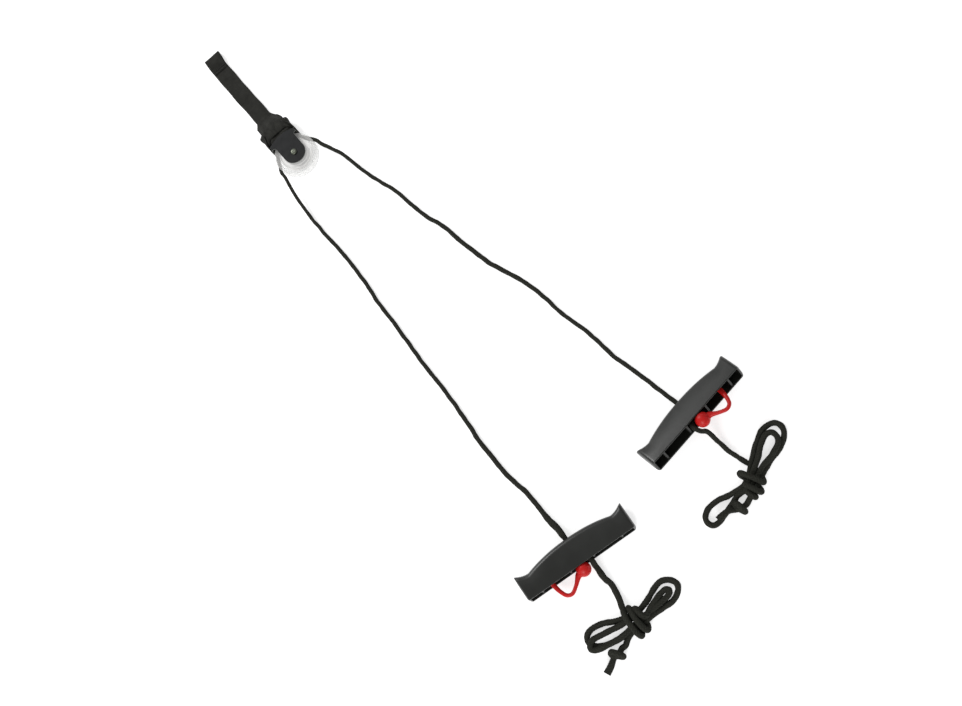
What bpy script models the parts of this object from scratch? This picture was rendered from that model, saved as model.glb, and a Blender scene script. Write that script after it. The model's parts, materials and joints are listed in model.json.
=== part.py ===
"""Over-door shoulder exercise pulley, laid out flat on a table, in metres.

The origin is on the sheave's axle, where the rear rivet head rests on the table. +Z is up, along the
axle, and +Y runs along the door strap, away from the two handles.
"""

from math import atan2, cos, hypot, pi, radians, sin, sqrt

import bmesh
import bpy
from mathutils import Matrix, Vector

GAP = 0.0003  # clearance between neighbouring pieces
OBJECT_NAME = "shoulder_pulley"

# cord
CORD_RADIUS = 0.0021
CORD_STEP = 0.013  # spacing of the rings along a run
TAIL_STEP = 0.006  # and along the curled lengths
SHEAVE_LEAD = 0.0145  # straight length beside the sheave
GRIP_LEAD = 0.012  # straight length before the grip
SHEAVE_DROP = 0.085  # length over which a run comes down from the sheave to the table
GRIP_RISE = 0.05  # length over which it rises to the grip
HANK_CORD_RADIUS = CORD_RADIUS * 1.15  # the spare cord is slack, so it swells
LOOP_TAPER = 0.45  # how much a hank's loop narrows towards its waist

# sheave, bush, washers and rivet, measured from the sheave's middle plane
SHEAVE_RADIUS = 0.0242
CORD_RING = 0.022  # radius of the cord's centre line in the groove
RIM_HALF = 0.006
WEB_HALF = 0.0046
HUB_HALF = 0.007
HUB_RADIUS = 0.0085
HUB_STEP = 0.0008
WEB_RADIUS = 0.0168
WEB_STEP = 0.001
RIM_CHAMFER = 0.0004
RIM_LIP = 0.001
# (radius, height) of the groove's floor, from its side to its middle
GROOVE = ((0.0204, 0.0019), (0.0196, 0.0010), (0.0194, 0.0))
BORE_RADIUS = 0.0045
SHANK_RADIUS = 0.0025
WASHER_RADIUS = 0.006
WASHER_THICK = 0.0009
RIVET_HEAD_RADIUS = 0.0035
RIVET_HEAD_THICK = 0.0018

# bracket: two cheeks joined by a curved bridge
SHEET = 0.0016
TONGUE_RADIUS = 0.0131
EAR_HALF_WIDTH = 0.0173
EAR_LOW_Y = 0.0192
EAR_FILLET = (0.0012, 0.0016)  # how far it reaches along the ear and down the tongue
CROWN_RADIUS = 0.041
CROWN_Y = 0.0274

CHEEK_INSIDE = HUB_HALF + GAP + WASHER_THICK + GAP
CHEEK_OUTSIDE = CHEEK_INSIDE + SHEET
MID_Z = CHEEK_OUTSIDE + GAP + RIVET_HEAD_THICK  # height of the sheave's middle plane
CROWN_CENTRE_Y = CROWN_Y - CROWN_RADIUS

# where the cord leaves the groove, as angles from +X
LEAVE_LEFT = radians(155)
LEAVE_RIGHT = radians(30)

# door strap
STRAP_HALF_WIDTH = 0.010
STRAP_THICK = 0.0028
STRAP_START_Y = 0.070
HEM_START_Y = 0.153
HEM_NOSE_RADIUS = 0.0039
HEM_NOSE_Y = 0.1715
HEM_SKIN = 0.0011
HEM_POCKET_Y = 0.160  # where the pocket starts, past the stitching
ROD_RADIUS = 0.0025
STITCH_RADIUS = 0.00035
STITCH_COUNT = 16
STITCH_Y = 0.1495
STITCH_WIDTH = 0.0022
STITCH_MARGIN = 0.0015
SLING_SKIN = 0.001
SLING_HALF_WIDTH = 0.0188
SLING_MOUTH = 0.0025  # from the top of the crown to where the sling closes

# handle, in its own frame: x along the grip, depth from the crest to the open side, z through it
HANDLE_HALF = 0.0645
HANDLE_DEPTH = 0.0305
HANDLE_HALF_THICK = 0.00875
CREST_CORNER = 0.0052
HORN_DEPTH = 0.001
NECK_X = 0.0495
NECK_DEPTH = 0.0067
CREST_POWER = 2.2  # how late the crest bends down to the neck
WALL = 0.00185
END_ROUND = 0.0036
END_FLAT = 0.35  # share of the thickness left at the tip
BAY_START = 0.0075  # least depth of a bay's floor
PAST = 0.001  # how far a cutter passes the face that it opens
RIB_X = 0.048
BOSS_X = 0.014
RIB_THICK = 0.002
RIB_RECESS = 0.002
POCKET_DEPTH = 0.015
CORD_HOLE_RADIUS = 0.0033
SOCKET_X = 0.036
SOCKET_HALF = 0.0035
SOCKET_DEPTH = 0.020
SOCKET_HOLE_RADIUS = 0.0023
SOCKET_HOLE_END = 0.0112

# cord plug, in the handle's frame
BALL_RADIUS = 0.0076
BALL_X = 0.002
BALL_DEPTH = 0.0343
STEM_RADII = (0.0026, 0.0018)
STEM_TIP_DEPTH = 0.0165
STEM_X = 0.0035
TAIL_RADIUS = 0.0019
ANCHOR_RADIUS = 0.002
# (x, depth) of the tail's bow, from beside the ball to the anchor's socket
TAIL_BOW = (
    (0.0098, 0.0366),
    (0.0170, 0.0432),
    (0.0243, 0.0478),
    (0.0300, 0.0462),
    (0.0333, 0.0400),
    (0.0352, 0.0310),
    (0.0360, 0.0218),
)
# (x, depth) of the cord inside the handle, from the crest to beside the ball
CORD_IN_HANDLE = (
    (0.0, -0.0006),
    (0.0, 0.0070),
    (-0.0003, 0.0140),
    (-0.0038, 0.0200),
    (-0.0078, 0.0265),
    (-0.0098, 0.0330),
)

# The two sides. grip is the crest point where the cord enters, yaw and roll turn the handle, anchor is
# the end of the grip that holds the plug's tail, and waves are the heights of the run's sine bends.
LEFT = {
    "name": "left",
    "leave": LEAVE_LEFT,
    "grip": Vector((-0.0513, -0.5253, 0.0089)),
    "yaw": radians(-6.3),
    "roll": 0.0,
    "anchor": -1,
    "waves": (-0.0048, 0.0013, -0.0011, -0.0011, 0.0, -0.0016),
    "tail": ((-0.0468, -0.588, 0.0023), (-0.0498, -0.602, 0.0028), (-0.0520, -0.6095, 0.0042)),
    "hank": Vector((-0.0520, -0.6280, 0.0075)),
    "waist_turn": radians(66),
    "loops": (
        # direction, length, half width, height off the table
        (2, 0.0550, 0.0105, 0.0002),
        (3, 0.0440, 0.0045, 0.0031),
        (161, 0.0485, 0.0060, 0.0004),
        (175, 0.0525, 0.0065, 0.0037),
    ),
    "end": ((-0.0665, -0.6395, 0.0042), (-0.0740, -0.6410, 0.0030), (-0.0845, -0.6440, 0.0045)),
    "end_tip": (-0.1065, -0.6505, 0.0032),
}
RIGHT = {
    "name": "right",
    "leave": LEAVE_RIGHT,
    "grip": Vector((0.1225, -0.4978, 0.0063)),
    "yaw": radians(7.5),
    "roll": radians(25),
    "anchor": 1,
    "waves": (0.0066, 0.0, 0.0006, 0.0017, 0.0, -0.0003),
    "tail": ((0.1245, -0.5520, 0.0080), (0.1275, -0.5660, 0.0030), (0.1308, -0.5780, 0.0040)),
    "hank": Vector((0.1250, -0.6010, 0.0075)),
    "waist_turn": radians(50),
    "loops": (
        (17, 0.0610, 0.0125, 0.0002),
        (18, 0.0500, 0.0075, 0.0031),
        (183, 0.0600, 0.0085, 0.0004),
        (187, 0.0340, 0.0035, 0.0033),
    ),
    "end": ((0.1085, -0.6185, 0.0050), (0.1045, -0.6180, 0.0052), (0.0985, -0.6175, 0.0056)),
    "end_tip": (0.0750, -0.6110, 0.0080),
}
WAIST_RADII = (0.0165, 0.0105, 0.0068)  # along the wraps, across them, and upright
KNOT_RADII = (0.0065, 0.0052, 0.0042)

MATERIALS = {
    # name: (colour, roughness, metallic)
    "webbing": ((0.030, 0.030, 0.027, 1), 0.85, 0.0),
    "thread": ((0.045, 0.045, 0.040, 1), 0.8, 0.0),
    "rod": ((0.35, 0.30, 0.22, 1), 0.6, 0.0),
    "painted_steel": ((0.018, 0.020, 0.022, 1), 0.4, 0.2),
    "bright_steel": ((0.52, 0.55, 0.47, 1), 0.35, 1.0),
    "sheave_plastic": ((0.86, 0.90, 0.89, 1), 0.25, 0.0),
    "cord": ((0.052, 0.054, 0.046, 1), 0.9, 0.0),
    "handle_plastic": ((0.024, 0.026, 0.024, 1), 0.45, 0.0),
    "plug_elastomer": ((0.62, 0.025, 0.030, 1), 0.4, 0.0),
}


# ---------------------------------------------------------------- helpers
def clear_scene():
    for obj in list(bpy.data.objects):
        bpy.data.objects.remove(obj, do_unlink=True)


def new_collection(name):
    collection = bpy.data.collections.new(name)
    bpy.context.scene.collection.children.link(collection)
    return collection


def make_material(name):
    colour, roughness, metallic = MATERIALS[name]
    material = bpy.data.materials.new(name)
    material.use_nodes = True
    shader = material.node_tree.nodes["Principled BSDF"]
    shader.inputs["Base Color"].default_value = colour
    shader.inputs["Roughness"].default_value = roughness
    shader.inputs["Metallic"].default_value = metallic
    material.diffuse_color = colour
    return material


def move_to(obj, collection):
    for old in list(obj.users_collection):
        old.objects.unlink(obj)
    collection.objects.link(obj)


def finish_part(obj, name, material):
    """Names a part, gives it its material and puts it in the parts collection."""
    obj.name = name
    obj.data.name = name
    obj.data.materials.clear()
    obj.data.materials.append(materials[material])
    move_to(obj, parts)
    obj.data.shade_smooth()
    obj.data.set_sharp_from_angle(angle=radians(40))


def object_from_bmesh(bm, name="shape"):
    bmesh.ops.recalc_face_normals(bm, faces=bm.faces)
    mesh = bpy.data.meshes.new(name)
    bm.to_mesh(mesh)
    bm.free()
    obj = bpy.data.objects.new(name, mesh)
    parts.objects.link(obj)
    return obj


def as_mesh(curve_object):
    """The curve object made a mesh object, with its caps welded on."""
    bpy.context.view_layer.update()
    graph = bpy.context.evaluated_depsgraph_get()
    mesh = bpy.data.meshes.new_from_object(curve_object.evaluated_get(graph))
    bm = bmesh.new()
    bm.from_mesh(mesh)
    bmesh.ops.remove_doubles(bm, verts=bm.verts, dist=1e-6)
    bmesh.ops.recalc_face_normals(bm, faces=bm.faces)
    bm.to_mesh(mesh)
    bm.free()
    obj = bpy.data.objects.new(curve_object.name, mesh)
    obj.matrix_world = curve_object.matrix_world
    parts.objects.link(obj)
    bpy.data.objects.remove(curve_object, do_unlink=True)
    return obj


def plate(loops, z_low, z_high):
    """A flat plate from closed outlines in the XY plane; the later loops are its holes."""
    curve = bpy.data.curves.new("plate", "CURVE")
    curve.dimensions = "2D"
    curve.fill_mode = "BOTH"
    curve.extrude = (z_high - z_low) / 2
    for loop in loops:
        spline = curve.splines.new("POLY")
        spline.points.add(len(loop) - 1)
        for point, (x, y) in zip(spline.points, loop):
            point.co = (x, y, 0, 1)
        spline.use_cyclic_u = True
    obj = bpy.data.objects.new("plate", curve)
    obj.location.z = (z_low + z_high) / 2
    parts.objects.link(obj)
    return as_mesh(obj)


def tube(points, radius, closed=False):
    """A round cord or wire along the points."""
    curve = bpy.data.curves.new("tube", "CURVE")
    curve.dimensions = "3D"
    curve.bevel_depth = radius
    curve.bevel_resolution = 1
    curve.use_fill_caps = not closed
    spline = curve.splines.new("POLY")
    spline.points.add(len(points) - 1)
    for point, place in zip(spline.points, points):
        point.co = (*place, 1)
    spline.use_cyclic_u = closed
    obj = bpy.data.objects.new("tube", curve)
    parts.objects.link(obj)
    return as_mesh(obj)


def turned(profile, steps, middle_z=0.0, closed=True):
    """A turned solid about Z from (radius, z) points that run down the outer side."""
    mesh = bpy.data.meshes.new("turned")
    last = len(profile) - 1
    edges = [(i, i + 1) for i in range(last)]
    if closed:
        edges.append((last, 0))
    mesh.from_pydata([(r, 0, z + middle_z) for r, z in profile], edges, [])
    obj = bpy.data.objects.new("turned", mesh)
    parts.objects.link(obj)
    screw = obj.modifiers.new("Screw", "SCREW")
    screw.steps = steps
    screw.render_steps = steps
    screw.use_merge_vertices = True
    screw.merge_threshold = 0.00001
    return obj


def loft(rings):
    """A closed solid through rings of equal point counts."""
    bm = bmesh.new()
    rows = [[bm.verts.new(point) for point in ring] for ring in rings]
    count = len(rows[0])
    for low, high in zip(rows, rows[1:]):
        for i in range(count):
            j = (i + 1) % count
            bm.faces.new((low[i], low[j], high[j], high[i]))
    bm.faces.new(rows[0])
    bm.faces.new(rows[-1])
    return object_from_bmesh(bm)


def cylinder(radius, start, end, vertices=20, tip_radius=None):
    """A cylinder or cone between two points."""
    start = Vector(start)
    end = Vector(end)
    bm = bmesh.new()
    bmesh.ops.create_cone(
        bm,
        cap_ends=True,
        segments=vertices,
        radius1=radius,
        radius2=radius if tip_radius is None else tip_radius,
        depth=(end - start).length,
    )
    turn = (end - start).to_track_quat("Z", "Y").to_matrix().to_4x4()
    bmesh.ops.transform(bm, matrix=Matrix.Translation((start + end) / 2) @ turn, verts=bm.verts)
    return object_from_bmesh(bm, "cylinder")


def ball(radii, centre, turn=0.0, segments=20, rings=12):
    """An ellipsoid with these three radii, turned about Z."""
    bm = bmesh.new()
    bmesh.ops.create_uvsphere(bm, u_segments=segments, v_segments=rings, radius=1)
    place = Matrix.Translation(Vector(centre)) @ Matrix.Rotation(turn, 4, "Z")
    bmesh.ops.transform(bm, matrix=place @ Matrix.Diagonal((*radii, 1)), verts=bm.verts)
    return object_from_bmesh(bm, "ball")


def combine(obj, other, operation):
    """Applies one Boolean and removes the second object."""
    modifier = obj.modifiers.new("Boolean", "BOOLEAN")
    modifier.operation = operation
    modifier.object = other
    modifier.solver = "EXACT"
    modifier.use_self = operation == "UNION"
    bpy.context.view_layer.update()
    graph = bpy.context.evaluated_depsgraph_get()
    mesh = bpy.data.meshes.new_from_object(obj.evaluated_get(graph))
    obj.modifiers.clear()
    obj.data = mesh
    bpy.data.objects.remove(other, do_unlink=True)
    return obj


def union(first, *others):
    for other in others:
        combine(first, other, "UNION")
    return first


def fill_voids(obj):
    """Keeps only the largest shell of a solid, so that no pocket stays sealed inside it."""
    bm = bmesh.new()
    bm.from_mesh(obj.data)
    shells = []
    unseen = set(bm.verts)
    while unseen:
        shell = set()
        edge = [unseen.pop()]
        while edge:
            vert = edge.pop()
            shell.add(vert)
            near = {e.other_vert(vert) for e in vert.link_edges} & unseen
            unseen -= near
            edge.extend(near)
        shells.append(shell)
    inner = set(bm.verts) - max(shells, key=len)
    bmesh.ops.delete(bm, geom=list(inner), context="VERTS")
    bm.to_mesh(obj.data)
    bm.free()
    return obj


def cut(obj, *cutters):
    for cutter in cutters:
        combine(obj, cutter, "DIFFERENCE")
    return obj


def smooth_step(value):
    value = min(max(value, 0.0), 1.0)
    return value * value * (3 - 2 * value)


def through(points, step):
    """Points at about this spacing on a smooth curve through the given points."""
    points = [Vector(p) for p in points]
    padded = [2 * points[0] - points[1], *points, 2 * points[-1] - points[-2]]
    dense = []
    for a, b, c, d in zip(padded, padded[1:], padded[2:], padded[3:]):
        count = max(2, round((c - b).length / step))
        for k in range(count):
            t = k / count
            dense.append(
                0.5
                * (
                    2 * b
                    + (c - a) * t
                    + (2 * a - 5 * b + 4 * c - d) * t**2
                    + (3 * b - a - 3 * c + d) * t**3
                )
            )
    return dense + [points[-1]]


def arc(centre, radius, start, end, steps):
    """Points of an arc in the XY plane, from one angle to another."""
    cx, cy = centre
    return [
        (
            cx + radius * cos(start + (end - start) * i / steps),
            cy + radius * sin(start + (end - start) * i / steps),
        )
        for i in range(steps + 1)
    ]


# ---------------------------------------------------------------- pulley block
def crown_arc(radius, half_width, steps=14):
    """The crown's arc, from +X to -X."""
    reach = atan2(half_width, sqrt(radius**2 - half_width**2))
    return arc((0, CROWN_CENTRE_Y), radius, pi / 2 - reach, pi / 2 + reach, steps)


def cheek(z_low):
    """One mushroom-shaped cheek: a round tongue under two ears and an arched crown."""
    along, down = EAR_FILLET
    corner = [
        (TONGUE_RADIUS, EAR_LOW_Y - down),
        (TONGUE_RADIUS + along, EAR_LOW_Y),
        (EAR_HALF_WIDTH, EAR_LOW_Y),
    ]
    outline = arc((0, 0), TONGUE_RADIUS, pi, 2 * pi, 24) + corner
    outline += crown_arc(CROWN_RADIUS, EAR_HALF_WIDTH)
    outline += [(-x, y) for x, y in reversed(corner)]
    hole = arc((0, 0), SHANK_RADIUS + GAP, 0, 2 * pi, 20)[:-1]
    return plate([outline, hole], z_low, z_low + SHEET)


def build_bracket():
    rear = cheek(MID_Z - CHEEK_OUTSIDE)
    front = cheek(MID_Z + CHEEK_INSIDE)
    band = crown_arc(CROWN_RADIUS, EAR_HALF_WIDTH)
    band += crown_arc(CROWN_RADIUS - SHEET, EAR_HALF_WIDTH)[::-1]
    overlap = SHEET / 2
    bridge = plate([band], MID_Z - CHEEK_INSIDE - overlap, MID_Z + CHEEK_INSIDE + overlap)
    bracket = union(rear, front, bridge)
    finish_part(bracket, "pulley_bracket", "painted_steel")


def build_sheave():
    half = [
        (BORE_RADIUS, HUB_HALF),
        (HUB_RADIUS, HUB_HALF),
        (HUB_RADIUS + HUB_STEP, WEB_HALF),
        (WEB_RADIUS, WEB_HALF),
        (WEB_RADIUS + WEB_STEP, RIM_HALF),
        (SHEAVE_RADIUS - RIM_CHAMFER, RIM_HALF),
        (SHEAVE_RADIUS, RIM_HALF - RIM_CHAMFER),
        (SHEAVE_RADIUS, RIM_HALF - RIM_LIP),
        *GROOVE[:-1],
    ]
    profile = half + [GROOVE[-1]] + [(r, -z) for r, z in reversed(half)]
    sheave = turned(profile, 40, MID_Z)
    finish_part(sheave, "sheave", "sheave_plastic")


def build_axle():
    top = CHEEK_OUTSIDE + GAP
    profile = [
        (0.0, top + RIVET_HEAD_THICK),
        (RIVET_HEAD_RADIUS * 0.6, top + RIVET_HEAD_THICK * 0.9),
        (RIVET_HEAD_RADIUS, top + RIVET_HEAD_THICK * 0.45),
        (RIVET_HEAD_RADIUS, top),
        (SHANK_RADIUS, top),
        (SHANK_RADIUS, -top),
        (RIVET_HEAD_RADIUS, -top),
        (RIVET_HEAD_RADIUS, -top - RIVET_HEAD_THICK),
        (0.0, -top - RIVET_HEAD_THICK),
    ]
    rivet = turned(profile, 24, MID_Z, closed=False)
    finish_part(rivet, "axle_rivet", "bright_steel")

    inner = SHANK_RADIUS + GAP
    outer = BORE_RADIUS - GAP
    bush = turned([(inner, HUB_HALF), (outer, HUB_HALF), (outer, -HUB_HALF), (inner, -HUB_HALF)], 24, MID_Z)
    finish_part(bush, "axle_bush", "bright_steel")

    for name, side in (("washer_front", 1), ("washer_rear", -1)):
        half = WASHER_THICK / 2
        middle = MID_Z + side * (HUB_HALF + GAP + half)
        ring = [(inner, half), (WASHER_RADIUS, half), (WASHER_RADIUS, -half), (inner, -half)]
        finish_part(turned(ring, 24, middle), name, "bright_steel")


def build_cord_over_sheave():
    spare = GAP / CORD_RING  # leaves a gap to each run
    bend = arc((0, 0), CORD_RING, LEAVE_RIGHT + spare, LEAVE_LEFT - spare, 16)
    finish_part(tube([(x, y, MID_Z) for x, y in bend], CORD_RADIUS), "cord_over_sheave", "cord")


# ---------------------------------------------------------------- door strap
def side_plate(loops, half_width):
    """A plate whose outlines are (y, z) points, with its thickness along X."""
    obj = plate(loops, -half_width, half_width)
    turn = Matrix(((0, 0, 1, 0), (1, 0, 0, 0), (0, 1, 0, 0), (0, 0, 0, 1)))
    obj.data.transform(turn @ obj.matrix_world)
    obj.matrix_world = Matrix.Identity(4)
    return obj


def build_strap():
    nose = (HEM_NOSE_Y, HEM_NOSE_RADIUS)
    outline = [(STRAP_START_Y, 0), (HEM_NOSE_Y, 0)]
    outline += arc(nose, HEM_NOSE_RADIUS, -pi / 2 + 0.2, pi / 2, 12)
    outline += [(HEM_START_Y, STRAP_THICK), (STRAP_START_Y, STRAP_THICK)]
    hollow = arc(nose, HEM_NOSE_RADIUS - HEM_SKIN, -pi / 2, pi / 2, 12)
    hollow += [(HEM_POCKET_Y, STRAP_THICK - HEM_SKIN), (HEM_POCKET_Y, HEM_SKIN)]
    finish_part(side_plate([outline, hollow], STRAP_HALF_WIDTH), "strap_webbing", "webbing")

    reach = STRAP_HALF_WIDTH - GAP
    rod = cylinder(ROD_RADIUS, (-reach, *nose), (reach, *nose), 20)
    finish_part(rod, "door_stop_rod", "rod")

    zigzag = []
    for i in range(STITCH_COUNT + 1):
        x = (i / STITCH_COUNT - 0.5) * 2 * (STRAP_HALF_WIDTH - STITCH_MARGIN)
        y = STITCH_Y + (STITCH_WIDTH if i % 2 else 0.0)
        zigzag.append((x, y, STRAP_THICK + GAP + STITCH_RADIUS))
    finish_part(tube(zigzag, STITCH_RADIUS), "hem_stitch", "thread")


def rounded_section(x_low, x_high, y, z_low, z_high, corner, per_corner=3):
    """A rounded rectangle in the XZ plane."""
    ring = []
    corners = (
        (x_high - corner, z_high - corner, 0),
        (x_low + corner, z_high - corner, pi / 2),
        (x_low + corner, z_low + corner, pi),
        (x_high - corner, z_low + corner, 3 * pi / 2),
    )
    for cx, cz, start in corners:
        for x, z in arc((cx, cz), corner, start, start + pi / 2, per_corner):
            ring.append((x, y, z))
    return ring


def build_hitch():
    """The gathered end of the strap, with the sling that passes round the bracket's bridge."""
    low = MID_Z - CHEEK_INSIDE + GAP
    high = MID_Z + CHEEK_INSIDE - GAP
    mouth_y = CROWN_Y + SLING_MOUTH
    stations = (
        # x_low, x_high, y, z_low, z_high, corner: from the bridge to the flat strap
        (-SLING_HALF_WIDTH + 0.0005, SLING_HALF_WIDTH - 0.0005, mouth_y, low, high, 0.003),
        (-0.0180, 0.0190, 0.0380, 0.0030, high - 0.001, 0.004),
        (-0.0172, 0.0195, 0.0440, 0.0010, 0.0180, 0.004),
        (-0.0165, 0.0165, 0.0530, 0.0003, 0.0150, 0.004),
        (-0.0160, 0.0130, 0.0600, 0.0001, 0.0110, 0.0035),
        (-0.0115, 0.0110, 0.0655, 0.0, 0.0062, 0.002),
        (-0.0100, 0.0100, STRAP_START_Y - GAP, 0.0, STRAP_THICK, 0.001),
    )
    bundle = loft([rounded_section(*station) for station in stations])

    top_y = mouth_y + 2 * SLING_SKIN
    outer = crown_arc(CROWN_RADIUS - SHEET - GAP - SLING_SKIN, SLING_HALF_WIDTH)
    outer += [(-SLING_HALF_WIDTH, top_y), (SLING_HALF_WIDTH, top_y)]
    inside_half = EAR_HALF_WIDTH + GAP
    inside = crown_arc(CROWN_RADIUS - SHEET - GAP, inside_half)
    inside += crown_arc(CROWN_RADIUS + GAP, inside_half)[::-1]
    sling = plate([outer, inside], low, high)
    finish_part(union(sling, bundle), "strap_hitch", "webbing")


# ---------------------------------------------------------------- handles
def handle_frame(side):
    """The handle's own frame: x along the grip, -y from the crest to the open side, z through it."""
    turn = Matrix.Rotation(side["yaw"], 4, "Z") @ Matrix.Rotation(-side["roll"], 4, "X")
    return Matrix.Translation(side["grip"]) @ turn


def in_handle(side, x, depth, z=0.0):
    return handle_frame(side) @ Vector((x, -depth, z))


def crest_depth(x):
    """Depth of the grip's back: a long crest, a neck near each end, and a horn beyond it."""
    x = abs(x)
    if x < NECK_X:
        return NECK_DEPTH * (x / NECK_X) ** CREST_POWER
    share = (x - NECK_X) / (HANDLE_HALF - NECK_X)
    return NECK_DEPTH + (HORN_DEPTH - NECK_DEPTH) * share**2


def half_thickness(x):
    past = max(abs(x) - (HANDLE_HALF - END_ROUND), 0) / END_ROUND
    return HANDLE_HALF_THICK * (END_FLAT + (1 - END_FLAT) * sqrt(max(1 - past**2, 0)))


def handle_section(x):
    """A ring round the grip: rounded towards the crest, square towards the open side."""
    half = half_thickness(x)
    corner = min(CREST_CORNER, half * 0.8)
    top = -crest_depth(x)
    ring = [(x, -HANDLE_DEPTH, -half), (x, -HANDLE_DEPTH, half)]
    for y, z in arc((top - corner, half - corner), corner, pi / 2, 0, 3):
        ring.append((x, y, z))
    for y, z in arc((top - corner, corner - half), corner, 0, -pi / 2, 3):
        ring.append((x, y, z))
    return ring


def handle_stations():
    """Even stations along the grip, with closer ones where each end rounds off."""
    even = [NECK_X * i / 7 for i in range(8)]
    horn = [NECK_X + (HANDLE_HALF - END_ROUND - NECK_X) * i / 3 for i in range(1, 4)]
    end = [HANDLE_HALF - END_ROUND * (1 - f) for f in (0.4, 0.7, 0.9, 1.0)]
    half = even + horn + end
    return [-x for x in reversed(half[1:])] + half


def bay(x_low, x_high, top_depth=None):
    """A cutter for one bay of the grip's hollow, open at the mouth."""
    steps = 4
    outline = [(x_high, -HANDLE_DEPTH - PAST), (x_low, -HANDLE_DEPTH - PAST)]
    for i in range(steps + 1):
        x = x_low + (x_high - x_low) * i / steps
        depth = max(crest_depth(x) + 2 * WALL, BAY_START)
        outline.append((x, -(top_depth or depth)))
    half = HANDLE_HALF_THICK - WALL
    return plate([outline[::-1]], -half, half)


def build_handle(side):
    handle = loft([handle_section(x) for x in handle_stations()])
    rib = RIB_THICK / 2
    end = HANDLE_HALF - WALL * 1.6
    cutters = [bay(-BOSS_X + rib, BOSS_X - rib, POCKET_DEPTH)]
    for sign in (-1, 1):
        spans = [(RIB_X + rib, end, None)]
        if sign == side["anchor"]:
            spans += [
                (BOSS_X + rib, SOCKET_X - SOCKET_HALF, None),
                (SOCKET_X - SOCKET_HALF - PAST, SOCKET_X + SOCKET_HALF + PAST, SOCKET_DEPTH),
                (SOCKET_X + SOCKET_HALF, RIB_X - rib, None),
            ]
        else:
            spans += [(BOSS_X + rib, RIB_X - rib, None)]
        for low, high, depth in spans:
            cutters.append(bay(*sorted((sign * low, sign * high)), depth))
    cutters.append(bay(-end, end, HANDLE_DEPTH - RIB_RECESS))
    cutters.append(cylinder(CORD_HOLE_RADIUS, (0, 4 * PAST, 0), (0, -POCKET_DEPTH - PAST, 0)))
    socket_x = side["anchor"] * SOCKET_X
    mouth = (socket_x, -SOCKET_DEPTH - PAST, 0)
    cutters.append(cylinder(SOCKET_HOLE_RADIUS, (socket_x, -SOCKET_HOLE_END, 0), mouth))
    cut(handle, *cutters)
    handle.matrix_world = handle_frame(side)
    finish_part(handle, "handle_" + side["name"], "handle_plastic")


def build_plug(side):
    anchor = side["anchor"]
    centre = Vector((anchor * BALL_X, -BALL_DEPTH, 0))
    stem_top = Vector((anchor * STEM_X * 0.7, -BALL_DEPTH + BALL_RADIUS * 0.8, 0))
    stem_tip = Vector((anchor * STEM_X, -STEM_TIP_DEPTH, 0))
    stem = cylinder(STEM_RADII[0], stem_top, stem_tip, 14, tip_radius=STEM_RADII[1])
    plug = union(ball([BALL_RADIUS] * 3, centre), stem)
    plug.matrix_world = handle_frame(side)
    finish_part(plug, "plug_ball_" + side["name"], "plug_elastomer")

    bow = [in_handle(side, anchor * x, depth) for x, depth in TAIL_BOW]
    tail = tube(through(bow, TAIL_STEP * 0.75), TAIL_RADIUS)
    finish_part(tail, "plug_tail_" + side["name"], "plug_elastomer")

    seat = in_handle(side, anchor * SOCKET_X, SOCKET_HOLE_END + GAP)
    head = in_handle(side, anchor * SOCKET_X, TAIL_BOW[-1][1] - GAP)
    finish_part(
        cylinder(ANCHOR_RADIUS, seat, head, 14), "plug_anchor_" + side["name"], "plug_elastomer"
    )


# ---------------------------------------------------------------- cord
def run_start(side):
    """Where the cord leaves the groove, and its direction there."""
    angle = side["leave"]
    outward = 1 if cos(angle) > 0 else -1
    place = Vector((CORD_RING * cos(angle), CORD_RING * sin(angle), MID_Z))
    return place, Vector((outward * sin(angle), -outward * cos(angle), 0))


def run_points(side):
    """The slack run from the sheave to the grip: sine bends on the straight line, resting on the table."""
    start, leaving = run_start(side)
    grip = in_handle(side, 0, CORD_IN_HANDLE[0][1] - 2 * GAP)
    before_grip = in_handle(side, 0, -GRIP_LEAD)
    before_grip.z = max(before_grip.z, CORD_RADIUS + GAP)
    exit_point = start + leaving * SHEAVE_LEAD
    line = before_grip - exit_point
    length = hypot(line.x, line.y)
    across = Vector((-line.y, line.x, 0)).normalized()
    count = round(length / CORD_STEP)
    floor_z = CORD_RADIUS + GAP / 2
    points = [start, start + leaving * SHEAVE_LEAD / 2]
    for i in range(count + 1):
        share = i / count
        bend = sum(h * sin((k + 1) * pi * share) for k, h in enumerate(side["waves"]))
        place = exit_point + line * share + across * bend
        from_sheave = smooth_step(share * length / SHEAVE_DROP)
        to_grip = smooth_step(1 - (1 - share) * length / GRIP_RISE)
        place.z = MID_Z + (floor_z - MID_Z) * from_sheave + (before_grip.z - floor_z) * to_grip
        points.append(place)
    return points + [grip]


def build_cord_side(side):
    name = side["name"]
    finish_part(tube(run_points(side), CORD_RADIUS), "cord_run_" + name, "cord")

    tail = [in_handle(side, side["anchor"] * x, depth) for x, depth in CORD_IN_HANDLE]
    tail += [Vector(p) for p in side["tail"]]
    finish_part(tube(through(tail, TAIL_STEP), CORD_RADIUS), "cord_tail_" + name, "cord")
    build_hank(side)
    build_end(side)


def hank_loop(side, direction, length, half_width, lift):
    """One teardrop loop of the hank, from its waist out to one side."""
    turn = Matrix.Rotation(radians(direction), 4, "Z")
    points = []
    count = 18
    for i in range(count):
        angle = 2 * pi * i / count
        along = length * (1 - cos(angle)) / 2
        wide = half_width * sin(angle) * (1 - LOOP_TAPER * cos(angle))
        drop = HANK_CORD_RADIUS + lift - side["hank"].z
        points.append(side["hank"] + turn @ Vector((along, wide, drop)))
    return points


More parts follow.
